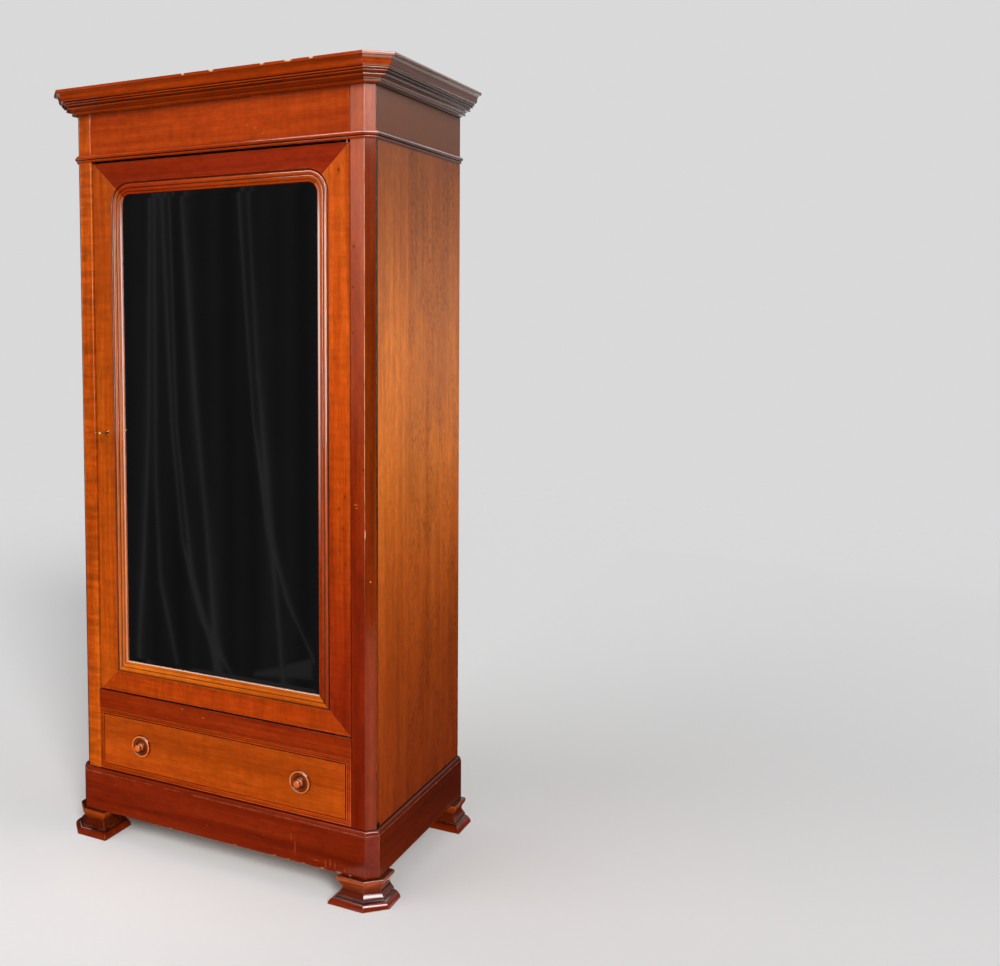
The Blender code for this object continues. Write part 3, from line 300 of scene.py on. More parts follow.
# Lines of painted shade and of painted highlight: place, half width, strength
CORNICE_SHADE_LINES = (
    (2.0368, 0.0026, 0.85), (2.0516, 0.0014, 0.80), (2.0594, 0.0016, 0.80), (2.0646, 0.0020, 0.75),
    (2.0926, 0.0010, 0.5),
)
CORNICE_HIGHLIGHT_LINES = (
    (2.0405, 0.0014, 0.30), (2.0464, 0.0034, 0.55), (2.0552, 0.0026, 0.60), (2.0700, 0.0028, 0.70),
    (2.0900, 0.0038, 0.60), (2.0980, 0.0017, 0.90),
)
ASTRAGAL_SHADE_LINES = ((1.8968, 0.0014, 0.70), (1.8888, 0.0014, 0.60))
ASTRAGAL_HIGHLIGHT_LINES = ((1.8930, 0.0024, 0.45), (1.9030, 0.0040, 0.40))
FRAME_GROOVE_SHADE = ((0.0072, 0.0018, 0.45), (0.0170, 0.0026, 0.55), (0.0312, 0.0036, 0.75))
# line along the glass: painted highlight on the lower side of the frame, painted shade on the upper side
FRAME_LIP = ((0.0006, 0.0016, 0.85),)
FRAME_HIGHLIGHTS = (
    # side, lines, colour, heights where the painted highlight starts and is full, its weakest and strongest
    ("left", ((0.0024, 0.0030, 1.0),), GREY_HIGHLIGHT, 0.60, 1.60, 0.20, 0.90),
    ("left", ((0.0118, 0.0030, 0.85), (0.0238, 0.0038, 0.95)), CREAM_HIGHLIGHT, 0.60, 1.75, 0.12, 0.46),
    ("right", ((0.0046, 0.0052, 1.0),), GREY_HIGHLIGHT, 0.80, 1.50, 0.0, 0.92),
    ("right", ((0.0238, 0.0036, 1.0),), CREAM_HIGHLIGHT, 0.80, 1.50, 0.0, 0.80),
)
FRAME_CORNER = 0.12  # the painted highlights fade this far below the upper corners

# Knots and marks, by piece
KNOTS = {
    # depth of the face, and (place across, height, radius)
    "post_front_right": (FRONT, (
        (0.4134, 1.6477, 0.0022), (0.4110, 1.5490, 0.0014), (0.4108, 1.4367, 0.0016),
    )),
    "door_stile_right": (DOOR_FACE, (
        (0.3691, 1.8363, 0.0034), (0.3845, 1.029, 0.0026), (0.3675, 0.9976, 0.0024),
        (0.3790, 0.9500, 0.0018), (0.3850, 0.8600, 0.0018),
    )),
}
PLINTH_CHIPS = (
    # place across, height, width, height of the mark
    (0.1826, 0.0720, 0.006, 0.0024), (0.3731, 0.0715, 0.010, 0.0024), (0.2700, 0.0712, 0.006, 0.0024),
    (-0.1500, 0.0710, 0.006, 0.0024), (0.0600, 0.0712, 0.005, 0.0024), (0.2250, 0.0716, 0.004, 0.0024),
    (0.3250, 0.0718, 0.007, 0.0024), (0.4050, 0.0714, 0.005, 0.0024),
)
PLINTH_SCRATCHES = (
    (0.3350, 0.0850, 0.0012, 0.0120), (0.3480, 0.0900, 0.0012, 0.0150), (0.3620, 0.0860, 0.0011, 0.0100),
    (0.3060, 0.0880, 0.0110, 0.0011), (0.2450, 0.1080, 0.0012, 0.0260), (0.2330, 0.1330, 0.0010, 0.0120),
    (0.1500, 0.1180, 0.0016, 0.0016), (-0.0300, 0.1050, 0.0022, 0.0014), (0.3900, 0.0810, 0.0010, 0.0080),
)
MARKS = {
    # depth of the face, depth of the marks, colour, strength, and the marks as above
    "post_front_right": (
        (FRONT, 0.003, SHADE_AND_GRIME, 0.6, ((0.4378, 1.1007, 0.0030, 0.0040),)),
        (FRONT, 0.003, BARE_WOOD, 0.6, ((0.4427, 0.9398, 0.0016, 0.0140),)),
        (FRONT, 0.003, WORN_EDGE_AND_HIGHLIGHT, 0.6, ((0.4181, 1.0125, 0.0060, 0.0012), (0.4200, 1.0040, 0.0040, 0.0010))),
        (-0.2420, 0.003, BARE_WOOD, 0.6, ((0.4520, 0.8209, 0.0020, 0.0022),)),
    ),
    "frieze_board": ((FRONT, 0.004, FRIEZE_MARK, 0.6, (
        (0.1093, 1.9654, 0.006, 0.002), (0.1569, 1.9413, 0.006, 0.002), (0.1330, 1.9560, 0.006, 0.002),
    )),),
    "drawer_rail": ((FRONT, 0.004, RAIL_MARK, 0.7, (
        (-0.115, 0.409, 0.005, 0.002), (-0.0459, 0.3958, 0.005, 0.002),
    )),),
    "cornice_front": ((CORNICE_FACE, 0.0050, BARE_CHIP, 0.95, (
        (0.2675, 2.0990, 0.012, 0.0042), (0.1935, 2.0990, 0.006, 0.0042), (0.3315, 2.0990, 0.007, 0.0042),
        (0.0425, 2.0990, 0.009, 0.0042), (-0.0441, 2.0990, 0.005, 0.0042),
    )),),
    "plinth_front": (
        (PLINTH_FACE, 0.003, PLINTH_CHIP, 0.85, PLINTH_CHIPS),
        (PLINTH_FACE, 0.003, PLINTH_SCRATCH, 0.45, PLINTH_SCRATCHES),
    ),
    # painted shadow in the gap at the foot of each side panel
    "side_panel_left": ((GAP_DEPTH, 0.010, SHADE_AND_GRIME, 1.0, ((-CASE_HALF, 0.1960, 0.01, 0.011),)),),
    "side_panel_right": ((GAP_DEPTH, 0.010, SHADE_AND_GRIME, 1.0, ((CASE_HALF, 0.1960, 0.01, 0.011),)),),
}

# Knobs, as turned outlines (radius, distance from the drawer front)
KNOB = (
    (0.0305, 0.0000), (0.0312, 0.0022), (0.0300, 0.0048), (0.0275, 0.0060), (0.0248, 0.0052),
    (0.0232, 0.0036), (0.0185, 0.0027), (0.0135, 0.0027), (0.0122, 0.0042), (0.0098, 0.0046),
    (0.0064, 0.0066), (0.0056, 0.0098), (0.0074, 0.0124), (0.0098, 0.0150), (0.0104, 0.0176),
    (0.0092, 0.0204), (0.0058, 0.0220), (0.0022, 0.0224),
)
KNOB_RADIUS = 0.0312
KNOB_STEPS = 72
KNOB_FINENESS = 4  # finer steps between two points of the outline

# Fasteners
HEAD_STEPS = 12
HEAD_TURN = math.radians(67)  # each slot is turned on from the one before
SCREW_RADIUS = 0.0032
SCREW_HEIGHT = 0.0009
SCREW_TAPER = 0.94  # upper edge of a screw head, as a share of the lower one
SLOT_WIDTH = 0.24  # shares of the head
SLOT_LENGTH = 0.97
SLOT_FLOOR = 0.35
NAIL_RADIUS = 0.0022
NAIL_HEIGHT = 0.0007
NAIL_OUTLINE = ((1.0, 0.0), (1.0, 0.35), (0.84, 0.78), (0.48, 1.0))  # shares of the radius and the height
NAIL_INSET = 0.009
NAIL_SPACING = 0.16
SOCKET_FLANGE = 0.004  # thickness of a rail socket's flange
SOCKET_SCREW_INSET = 0.006

# Plain pieces
BARE_PIECES = {
    "X": ("plinth_rear", "base_board", "back_rail_lower", "back_rail_upper", "floor_board", "top_board",
          "hat_shelf", "drawer_back"),
    "Y": ("shelf_batten_left", "shelf_batten_right", "drawer_runner_left", "drawer_runner_right",
          "drawer_side_left", "drawer_side_right"),
}
PLY_PIECES = (("back_panel", "Z"), ("mirror_backing", "Z"), ("drawer_bottom", "X"))
BRASS_PIECES = ("hanging_rail", "rail_socket_left", "rail_socket_right", "escutcheon", "key")
STEEL_PIECES = ("hinge_bottom_plate", "hinge_top_plate", "hinge_bottom_socket", "hinge_top_socket",
                "lock_case", "lock_bolt")
FINE_PIECES = ("door_stile_left", "door_stile_right", "door_rail_top", "door_rail_bottom", "frieze_board",
               "escutcheon", "drawer_surround", "mirror_moulding", "key") + STEEL_PIECES


def linear(colour):
    """A screen colour as the light values that a shader takes."""
    values = [channel / 255 for channel in colour]
    return [value / 12.92 if value <= 0.04045 else ((value + 0.055) / 1.055) ** 2.4 for value in values]


def toward(azimuth, elevation=0.0):
    """The direction from the part to an azimuth and an elevation."""
    turn = math.radians(azimuth)
    rise = math.radians(elevation)
    return Vector((math.sin(turn) * math.cos(rise), -math.cos(turn) * math.cos(rise), math.sin(rise)))


class Paint:
    """A node material, built up from textures in the part's own coordinates."""

    def __init__(self, name, grain="X", seed=0.0):
        self.material = bpy.data.materials.new(name)
        self.material.use_nodes = True
        self.tree = self.material.node_tree
        self.shader = self.tree.nodes["Principled BSDF"]
        self.grain = grain
        self.seed = seed
        self.place = self.add("ShaderNodeTexCoord").outputs["Object"]
        parts = self.add("ShaderNodeSeparateXYZ", Vector=self.place).outputs
        self.across = parts["X"]
        self.depth = parts["Y"]
        self.height = parts["Z"]

    def add(self, kind, **values):
        """A new node; the names of its sockets are given with underscores for spaces."""
        node = self.tree.nodes.new(kind)
        for name, value in values.items():
            self.feed(node.inputs[name.replace("_", " ")], value)
        return node

    def feed(self, socket, value):
        """Sets a socket, or links it to another one."""
        if isinstance(value, bpy.types.NodeSocket):
            self.tree.links.new(value, socket)
        else:
            socket.default_value = value

    def texture(self, kind):
        """A noise from the table of textures, drawn out along the grain."""
        along, across, shift, detail, roughness, distortion = TEXTURES[kind]
        scale = [across, across, across]
        scale["XYZ".index(self.grain)] = along
        start = self.seed + shift
        place = self.add("ShaderNodeMapping", Vector=self.place, Scale=scale)
        place.inputs["Location"].default_value = (start, start * 0.7, start * 1.3)
        noise = self.add("ShaderNodeTexNoise", Vector=place.outputs["Vector"], Scale=1.0, Detail=detail)
        noise.inputs["Roughness"].default_value = roughness
        noise.inputs["Distortion"].default_value = distortion
        return noise.outputs["Fac"]

    def remap(self, value, low, high, to_low=0.0, to_high=1.0):
        """A number that changes smoothly from one to another as a value goes from low to high."""
        node = self.add("ShaderNodeMapRange", Value=value, From_Min=low, From_Max=high)
        node.inputs["To Min"].default_value = to_low
        node.inputs["To Max"].default_value = to_high
        node.interpolation_type = "SMOOTHSTEP"
        return node.outputs["Result"]

    def past(self, value, place, soft=0.001):
        """A mask where a value is past a place."""
        return self.remap(value, place - soft, place + soft)

    def operate(self, kind, operation, first, second):
        node = self.tree.nodes.new(kind)
        node.operation = operation
        self.feed(node.inputs[0], first)
        self.feed(node.inputs[1], second)
        return node

    def calc(self, operation, first, second=0.0):
        return self.operate("ShaderNodeMath", operation, first, second).outputs["Value"]

    def times(self, first, second):
        return self.calc("MULTIPLY", first, second)

    def minus(self, first, second):
        return self.calc("SUBTRACT", first, second)

    def length(self, vector):
        return self.operate("ShaderNodeVectorMath", "LENGTH", vector, (0.0, 0.0, 0.0)).outputs["Value"]

    def product(self, colour, light):
        """A colour, changed by a factor or by light values."""
        return self.operate("ShaderNodeVectorMath", "MULTIPLY", colour, light).outputs["Vector"]

    def mix(self, kind, first, second, mask):
        """The first value where the mask is 0, and the second one where it is 1."""
        node = self.tree.nodes.new("ShaderNodeMix")
        node.data_type = kind
        start, end, result = MIX_SOCKETS[kind]
        self.feed(node.inputs["Factor"], mask)
        self.feed(node.inputs[start], first)
        self.feed(node.inputs[end], second)
        return node.outputs[result]

    def blend_ramp(self, value, stops):
        """Light values that change along a scale; stops are (place from 0 to 1, light values)."""
        node = self.add("ShaderNodeValToRGB", Fac=value)
        steps = node.color_ramp.elements
        while len(steps) < len(stops):
            steps.new(1.0)
        for step, (place, light) in zip(steps, stops):
            step.position = place
            step.color = (*light, 1.0)
        return node.outputs["Color"]

    def scale_ramp(self, value, stops):
        """Light values that change with a value; stops are (value, light values)."""
        low = stops[0][0]
        reach = stops[-1][0] - low
        share = self.calc("DIVIDE", self.minus(value, low), reach)
        return self.blend_ramp(share, [((place - low) / reach, light) for place, light in stops])

    def ramp(self, value, colours, places):
        """Colours that change along a scale."""
        return self.blend_ramp(value, [(place, linear(colour)) for place, colour in zip(places, colours)])

    def distance(self, point, size=(1.0, 1.0, 1.0)):
        """Distance from a point, measured in the sizes given for the three axes."""
        scale = [1 / value for value in size]
        node = self.add("ShaderNodeMapping", Vector=self.place, Scale=scale)
        node.inputs["Location"].default_value = [-value * factor for value, factor in zip(point, scale)]
        return self.length(node.outputs["Vector"])

    def edges(self, width):
        """A mask along the edges of the shape."""
        rounded = self.add("ShaderNodeBevel", Radius=width)
        rounded.samples = EDGE_SAMPLES
        flat = self.add("ShaderNodeNewGeometry").outputs["Normal"]
        same = self.operate("ShaderNodeVectorMath", "DOT_PRODUCT", rounded.outputs["Normal"], flat)
        return self.remap(same.outputs["Value"], 0.99, 0.90)

    def hollows(self, reach):
        """A mask in the grooves of the shape."""
        node = self.add("ShaderNodeAmbientOcclusion", Distance=reach)
        node.samples = HOLLOW_SAMPLES
        node.only_local = True
        return self.remap(node.outputs["AO"], 0.92, 0.50)

    def bump(self, height, depth):
        node = self.add("ShaderNodeBump", Strength=1.0, Distance=depth, Height=height)
        self.feed(self.shader.inputs["Normal"], node.outputs["Normal"])

    def finish(self, colour, roughness, **constants):
        self.feed(self.shader.inputs["Base Color"], colour)
        self.feed(self.shader.inputs["Roughness"], roughness)
        for name, value in constants.items():
            self.shader.inputs[name.replace("_", " ")].default_value = value
        return self.material


class Cherry(Paint):
    """Lacquered cherry with its grain along one axis."""

    def __init__(self, name, grain, seed, tones, streaks, mitred=False):
        super().__init__(name, grain, seed)
        if mitred:
            self.turn_grain()
        self.broad = self.texture("broad")
        self.fibre = self.texture("fibre")
        self.pores = self.remap(self.texture("pores"), 0.58, 0.70)
        spread = 0.30 / streaks
        rings = self.remap(self.texture("rings"), 0.5 - spread, 0.5 + spread)
        self.colour = self.ramp(rings, tones, (0.0, 0.5, 1.0))
        for value, amount in ((self.broad, 0.12), (self.texture("cloud"), 0.13), (self.fibre, 0.12)):
            self.vary(value, 1.0 - amount, 1.0 + amount, 0.25, 0.75)
        self.vary(self.pores, 1.0, 0.78)

    def turn_grain(self):
        """Turns the grain on the upper and lower pieces of the frame round the glass, and finds its sides."""
        middle = (SIGHT_LOW + SIGHT_HIGH) / 2
        tall = (SIGHT_HIGH - SIGHT_LOW) / 2
        beside = self.minus(self.calc("ABSOLUTE", self.across), SIGHT_HALF)
        above = self.calc("ABSOLUTE", self.minus(self.height, middle))
        lying = self.calc("GREATER_THAN", self.minus(above, tall), beside)
        turned = self.add("ShaderNodeCombineXYZ", X=self.height, Y=self.depth, Z=self.across)
        self.place = self.mix("VECTOR", self.place, turned.outputs["Vector"], lying)
        past_side = self.calc("MAXIMUM", self.calc("ADD", beside, SIGHT_RADIUS), 0.0)
        past_top = self.calc("MAXIMUM", self.minus(self.height, SIGHT_HIGH - SIGHT_RADIUS), 0.0)
        corner = self.add("ShaderNodeCombineXYZ", X=past_side, Y=past_top).outputs["Vector"]
        lower = self.calc("MAXIMUM", beside, self.minus(SIGHT_LOW, self.height))
        self.from_glass = self.calc("MAXIMUM", self.minus(self.length(corner), SIGHT_RADIUS), lower)
        rightward = self.calc("GREATER_THAN", self.across, 0.0)
        upward = self.calc("GREATER_THAN", self.height, middle)
        standing = self.minus(1.0, lying)
        self.on_side = {
            "left": self.times(standing, self.minus(1.0, rightward)),
            "right": self.times(standing, rightward),
            "upper": self.times(lying, upward),
            "lower": self.times(lying, self.minus(1.0, upward)),
        }

    def vary(self, value, at_low, at_high, low=0.0, high=1.0):
        """Makes the wood darker or lighter as a value changes."""
        self.colour = self.product(self.colour, self.remap(value, low, high, at_low, at_high))

    def lay(self, over, mask):
        """Lays a colour over the wood where the mask is 1."""
        self.colour = self.mix("RGBA", self.colour, (*linear(over), 1.0), mask)

    def tint(self, value, stops, mask=1.0):
        """Multiplies the wood by light values that change with a value; stops are (value, light values)."""
        shaded = self.product(self.colour, self.scale_ramp(value, stops))
        self.colour = self.mix("RGBA", self.colour, shaded, mask)

    def lines(self, value, places, over, mask=1.0):
        """Lays soft lines of one colour over the wood, each as (middle, half width, strength)."""
        for middle, half, strength in places:
            away = self.calc("ABSOLUTE", self.minus(value, middle))
            self.lay(over, self.times(self.remap(away, half, 0.0, 0.0, strength), mask))

    def ripple(self, amount):
        """Curly figure: soft bands across the grain."""
        self.vary(self.texture("ripple"), 1.0 - amount, 1.0 + amount, 0.3, 0.7)

    def flecks(self, amount, mask):
        """Short dark flecks along the grain, gathered in patches."""
        dashes = self.remap(self.texture("dashes"), 0.50, 0.62)
        spots = self.times(dashes, self.remap(self.texture("patches"), 0.42, 0.58))
        self.vary(self.times(spots, mask), 1.0, 1.0 - amount)

    def on_cant(self):
        """A mask on the canted corners."""
        edge = CASE_HALF - CANT + CANT_LEAN * FRONT
        slant = self.calc("ADD", self.calc("ABSOLUTE", self.across), self.times(self.depth, CANT_LEAN))
        return self.remap(slant, edge, edge + 0.0005)

    def spot(self, point, size, over, strength=1.0):
        """A ragged mark of one colour."""
        away = self.calc("ADD", self.distance(point, size), self.minus(self.texture("torn"), 0.5))
        self.lay(over, self.remap(away, 1.0, 0.7, 0.0, strength))

    def knot(self, point, radius):
        """A pin knot: a dark heart with a soft, drawn-out shadow round it."""
        size = [radius, radius, radius]
        size["XYZ".index(self.grain)] = radius * 1.6
        away = self.distance(point, size)
        self.vary(away, 0.72, 1.0, 0.4, 3.2)
        self.vary(away, 0.45, 1.0, 0.4, 1.1)

    def wear_and_highlight(self, width, amount):
        """Thin, broken bright lines on the edges: rubbed lacquer and painted highlight."""
        rubbed = self.remap(self.texture("rubbed"), 0.42, 0.62, 0.15, 1.0)
        self.lay(WORN_EDGE_AND_HIGHLIGHT, self.times(self.times(self.edges(width), rubbed), amount))

    def arris_highlight(self, side):
        """A painted highlight down the edge between a post's face and its cant, broken up and only on the
        upper part.
        """
        away = self.distance((side * (CASE_HALF - CANT), FRONT, 0.0), (0.0008, 0.0008, FAR))
        broken_shine = self.remap(self.texture("broken_shine"), 0.30, 0.60, 0.25, 0.75)
        upper = self.remap(self.height, 0.70, 1.20)
        self.lay(ARRIS_HIGHLIGHT, self.times(self.times(self.remap(away, 1.2, 0.6), broken_shine), upper))

    def shadow_gap(self, value, edge, strength=0.9):
        """A painted shadow along an edge, from the table of gap shadows."""
        start, full = GAP_SHADOWS[edge]
        self.lay(SHADE_AND_GRIME, self.remap(value, start, full, 0.0, strength))

    def shade_hollows(self, reach, amount):
        """Painted shade in the grooves and hollows of the shape."""
        self.lay(SHADE_AND_GRIME, self.times(self.hollows(reach), amount))

    def lacquered(self, roughness, coat, coat_roughness):
        self.bump(self.minus(self.times(self.fibre, 0.35), self.pores), 0.00005)
        return self.finish(
            self.colour, self.remap(self.broad, 0.25, 0.75, roughness - 0.05, roughness + 0.06),
            Specular_IOR_Level=0.05, Coat_Weight=coat, Coat_Roughness=coat_roughness, Coat_IOR=1.5,
        )


def right_post(paint):
    cant = paint.on_cant()
    face = paint.minus(1.0, cant)
    # painted light: the face darker and redder towards the floor
    paint.tint(paint.height, SHADES["right post"], face)
    # painted reflection, growing towards the top of the face
    upper = paint.remap(paint.height, 1.05, 1.75, 0.0, 0.13)
    reflection = paint.times(upper, paint.remap(paint.broad, 0.3, 0.6, 0.5, 1.0))
    paint.lay(POST_REFLECTION, paint.times(reflection, face))
    # painted light and shade on the cant, and a painted reflection on it above the door head
    paint.tint(paint.height, SHADES["right cant"], cant)
    # painted shadow in the groove beside the side panel
    paint.shadow_gap(paint.depth, "groove", 1.0)
    paint.arris_highlight(1)


def left_post(paint):
    # painted shade: the cant darker below the frieze
    paint.tint(paint.height, SHADES["left cant"], paint.on_cant())
    # painted shadow in the groove beside the side panel
    paint.shadow_gap(paint.depth, "groove", 1.0)
    paint.arris_highlight(-1)


def right_stile(paint):
    paint.tint(paint.height, SHADES["right stile"])


def left_stile(paint):
    paint.tint(paint.height, SHADES["left stile"])


def upper_rail(paint):
    paint.tint(paint.across, SHADES["upper rail"])


def lower_rail(paint):
    # painted shadow under the door, along the upper edge of the rail
    paint.shadow_gap(paint.height, "rail")


def frieze(paint):
    # painted shadow over the door, along the lower edge of the frieze
    paint.shadow_gap(paint.height, "frieze")


def side_panel(paint):
    """Two leaves: a plain golden one in front and a darker, flecked one behind."""
    rear = paint.past(paint.depth, LEAF_SEAM)
    paint.flecks(0.44, paint.calc("ADD", paint.times(rear, 0.65), 0.35))
    paint.vary(rear, 1.08, 0.95)
    # painted light: darker towards the floor and towards the top
    paint.tint(paint.height, SHADES["side"])
    # painted shadow in the groove along the front edge, weaker low down
    edge = paint.remap(paint.depth, GROOVE_END + 0.0050, GROOVE_END + 0.0066, 1.0, 0.0)
    upper = paint.remap(paint.height, 0.40, 1.00, 0.35, 1.0)
    paint.lay(SHADE_AND_GRIME, paint.times(edge, upper))
    # painted shadow along the foot, over the plinth
    paint.shadow_gap(paint.height, "side foot")
    paint.lay(SIDE_FRIEZE, paint.times(paint.past(paint.height, HEAD), 0.85))


def beside_drawer(paint):
    """Painted shadow in the gap round the drawer front."""
    beside = paint.minus(paint.calc("ABSOLUTE", paint.across), DRAWER_HALF)
    below = paint.minus(DRAWER_LOW, paint.height)
    above = paint.minus(paint.height, DRAWER_HIGH)
    paint.shadow_gap(paint.calc("MAXIMUM", beside, paint.calc("MAXIMUM", below, above)), "drawer gap", 1.0)


def drawer_face(paint):
    """Two boards, glued a little above the middle."""
    # painted shadow on the edges of the drawer front, in the gap
    paint.shadow_gap(paint.depth, "drawer")
    paint.vary(paint.past(paint.height, DRAWER_SEAM, 0.0008), 1.05, 0.95)


def foot(paint):
    """Painted shade in the hollows of the profile, and a lighter, more orange band under the upper edge."""
    paint.tint(paint.height, SHADES["foot"])
    # painted shadow along the upper edge, under the plinth
    paint.shadow_gap(paint.height, "foot", 0.8)


def plinth_side(paint):
    paint.tint(paint.depth, SHADES["plinth side"])
    # painted shadow along the upper edge
    paint.shadow_gap(paint.height, "plinth")


def plinth_front(paint):
    paint.tint(paint.height, SHADES["plinth front"])
    # painted shadow along the upper edge, under the drawer surround
    paint.shadow_gap(paint.height, "plinth")


def cornice_side(paint):
    """Painted shade in the grooves, and painted highlights along the edges."""
    paint.lines(paint.height, CORNICE_SHADE_LINES, SHADE_AND_GRIME)
    paint.lines(paint.height, CORNICE_HIGHLIGHT_LINES, DULL_HIGHLIGHT)


def cornice_front(paint):
    """Painted shade in the grooves, and painted highlights on the canted corners."""
    paint.lines(paint.height, CORNICE_SHADE_LINES, SHADE_AND_GRIME, 0.45)
    paint.lines(paint.height, CORNICE_HIGHLIGHT_LINES, CREAM_HIGHLIGHT, paint.on_cant())


def astragal_side(paint):
    # painted shade in the grooves, and painted highlights along the beads
    paint.lines(paint.height, ASTRAGAL_SHADE_LINES, SHADE_AND_GRIME)
    paint.lines(paint.height, ASTRAGAL_HIGHLIGHT_LINES, DULL_HIGHLIGHT)


def astragal_front(paint):
    # painted shade in the grooves, and painted highlights on the canted corners
    paint.lines(paint.height, ASTRAGAL_SHADE_LINES, SHADE_AND_GRIME)
    paint.lines(paint.height, ASTRAGAL_HIGHLIGHT_LINES, CREAM_HIGHLIGHT, paint.on_cant())


def glass_frame(paint):
    """Each side of the frame round the glass gets its own painted light and shade, with painted shade in the
    grooves and painted highlights along the beads.
    """
    sides = paint.on_side
    along = {"left": paint.height, "right": paint.height, "upper": paint.across, "lower": paint.across}
    for side, value in along.items():
        # painted light and shade, different on each side of the frame
        paint.tint(value, SHADES[f"frame {side}"], sides[side])
    # painted shade in the grooves
    paint.lines(paint.from_glass, FRAME_GROOVE_SHADE, SHADE_AND_GRIME)
    corner = paint.remap(paint.height, SIGHT_HIGH - FRAME_CORNER, SIGHT_HIGH, 1.0, 0.1)
    # painted highlights along the beads, rising towards the top and fading at the upper corners
    for side, places, colour, low, high, weak, strong in FRAME_HIGHLIGHTS:
        rising = paint.times(paint.remap(paint.height, low, high, weak, strong), corner)
        paint.lines(paint.from_glass, places, colour, paint.times(rising, sides[side]))
    # painted highlight along the glass on the lower side, painted shade on the upper side
    paint.lines(paint.from_glass, FRAME_LIP, PALE_HIGHLIGHT, sides["lower"])
    paint.lines(paint.from_glass, FRAME_LIP, SHADE_AND_GRIME, sides["upper"])


CHERRY_SEED = 11.0
CHERRY_PIECES = (
    # name, grain axis, tones, strength of the streaks and of the ripple, treatment
    ("frieze_board", "X", ORANGE, 0.42, 0.07, frieze),
    ("drawer_rail", "X", RED, 0.55, 0.0, lower_rail),
    ("door_rail_top", "X", RED, 0.38, 0.0, upper_rail),
    ("door_rail_bottom", "X", ORANGE, 0.48, 0.11, None),
    ("drawer_front", "X", OLIVE, 0.32, 0.04, drawer_face),
    ("plinth_front", "X", DEEP, 0.46, 0.0, plinth_front),
    ("plinth_left", "Y", DEEP, 0.60, 0.0, plinth_side),
    ("plinth_right", "Y", DEEP, 0.60, 0.0, plinth_side),
    ("head_rail", "X", UMBER, 0.60, 0.0, None),
    ("post_front_left", "Z", GOLDEN, 0.60, 0.22, left_post),
    ("post_front_right", "Z", ORANGE, 0.60, 0.0, right_post),
    ("door_stile_left", "Z", GOLDEN, 0.60, 0.09, left_stile),
    ("door_stile_right", "Z", AMBER, 0.60, 0.08, right_stile),
    ("side_panel_left", "Z", SIDE, 0.32, 0.0, side_panel),
    ("side_panel_right", "Z", SIDE, 0.32, 0.0, side_panel),
)
MOULDED_SEED = 71.0
MOULDED_STREAKS = 0.5
MOULDED_PIECES = (
    # name, grain axis, tones, treatment
    ("drawer_surround", "X", ORANGE, beside_drawer),
    ("astragal_front", "X", ORANGE, astragal_front),
    ("astragal_left", "Y", UMBER, astragal_side),
    ("astragal_right", "Y", UMBER, astragal_side),
    ("cornice_front", "X", ORANGE, cornice_front),
    ("cornice_left", "Y", UMBER, cornice_side),
    ("cornice_right", "Y", UMBER, cornice_side),
    ("foot_front_left", "X", DEEP, foot),
    ("foot_front_right", "X", DEEP, foot),
    ("foot_rear_left", "X", DEEP, foot),
    ("foot_rear_right", "X", DEEP, foot),
)
KNOB_SEED = 121.0
FRAME_SEED = 131.0
BARE_SEED = 150.0
PLY_SEED = 190.0


def pale_wood(name, grain, seed):
    """Plain wood inside the case, without lacquer."""
    paint = Paint(name, grain, seed)
    fibre = paint.texture("plain fibre")
    colour = paint.ramp(paint.remap(paint.texture("plain rings"), 0.25, 0.75), PALE, (0.0, 0.55, 1.0))
    colour = paint.product(colour, paint.remap(fibre, 0.25, 0.75, 0.90, 1.08))
    colour = paint.product(colour, paint.remap(paint.texture("plain broad"), 0.3, 0.7, 0.90, 1.06))
    paint.bump(fibre, 0.00012)
    return paint.finish(colour, paint.remap(fibre, 0.2, 0.8, 0.52, 0.68), Specular_IOR_Level=0.3)


def ply_sheet(name, grain, seed):
    """Thin plywood: broad, wavy rotary-cut figure."""
    paint = Paint(name, grain, seed)
    waves = paint.texture("ply waves")
    fibre = paint.texture("ply fibre")
    colour = paint.ramp(paint.remap(waves, 0.3, 0.7), PLY, (0.0, 0.5, 1.0))
    colour = paint.product(colour, paint.remap(fibre, 0.25, 0.75, 0.90, 1.08))
    paint.bump(fibre, 0.00010)
    return paint.finish(colour, paint.remap(waves, 0.2, 0.8, 0.60, 0.75), Specular_IOR_Level=0.3)


def aged_brass(name):
    paint = Paint(name)
    tarnish = paint.texture("tarnish")
    colour = paint.ramp(paint.remap(tarnish, 0.3, 0.7), BRASS, (0.0, 0.45, 1.0))
    paint.bump(paint.texture("rub"), 0.00003)
    return paint.finish(colour, paint.remap(tarnish, 0.25, 0.75, 0.38, 0.22), Metallic=1.0)


def plain_steel(name):
    paint = Paint(name)
    brushing = paint.texture("brushing")
    colour = paint.ramp(paint.remap(paint.texture("stains"), 0.3, 0.7), STEEL, (0.0, 0.5, 1.0))
    paint.bump(brushing, 0.00002)
    return paint.finish(colour, paint.remap(brushing, 0.2, 0.8, 0.30, 0.46), Metallic=1.0)


def silvered_glass(name):
    """Mirror with a faint haze of age."""
    paint = Paint(name)
    haze = paint.texture("haze")
    colour = paint.ramp(haze, SILVER, (0.3, 0.7))
    return paint.finish(colour, paint.remap(haze, 0.3, 0.7, 0.008, 0.022), Metallic=1.0)


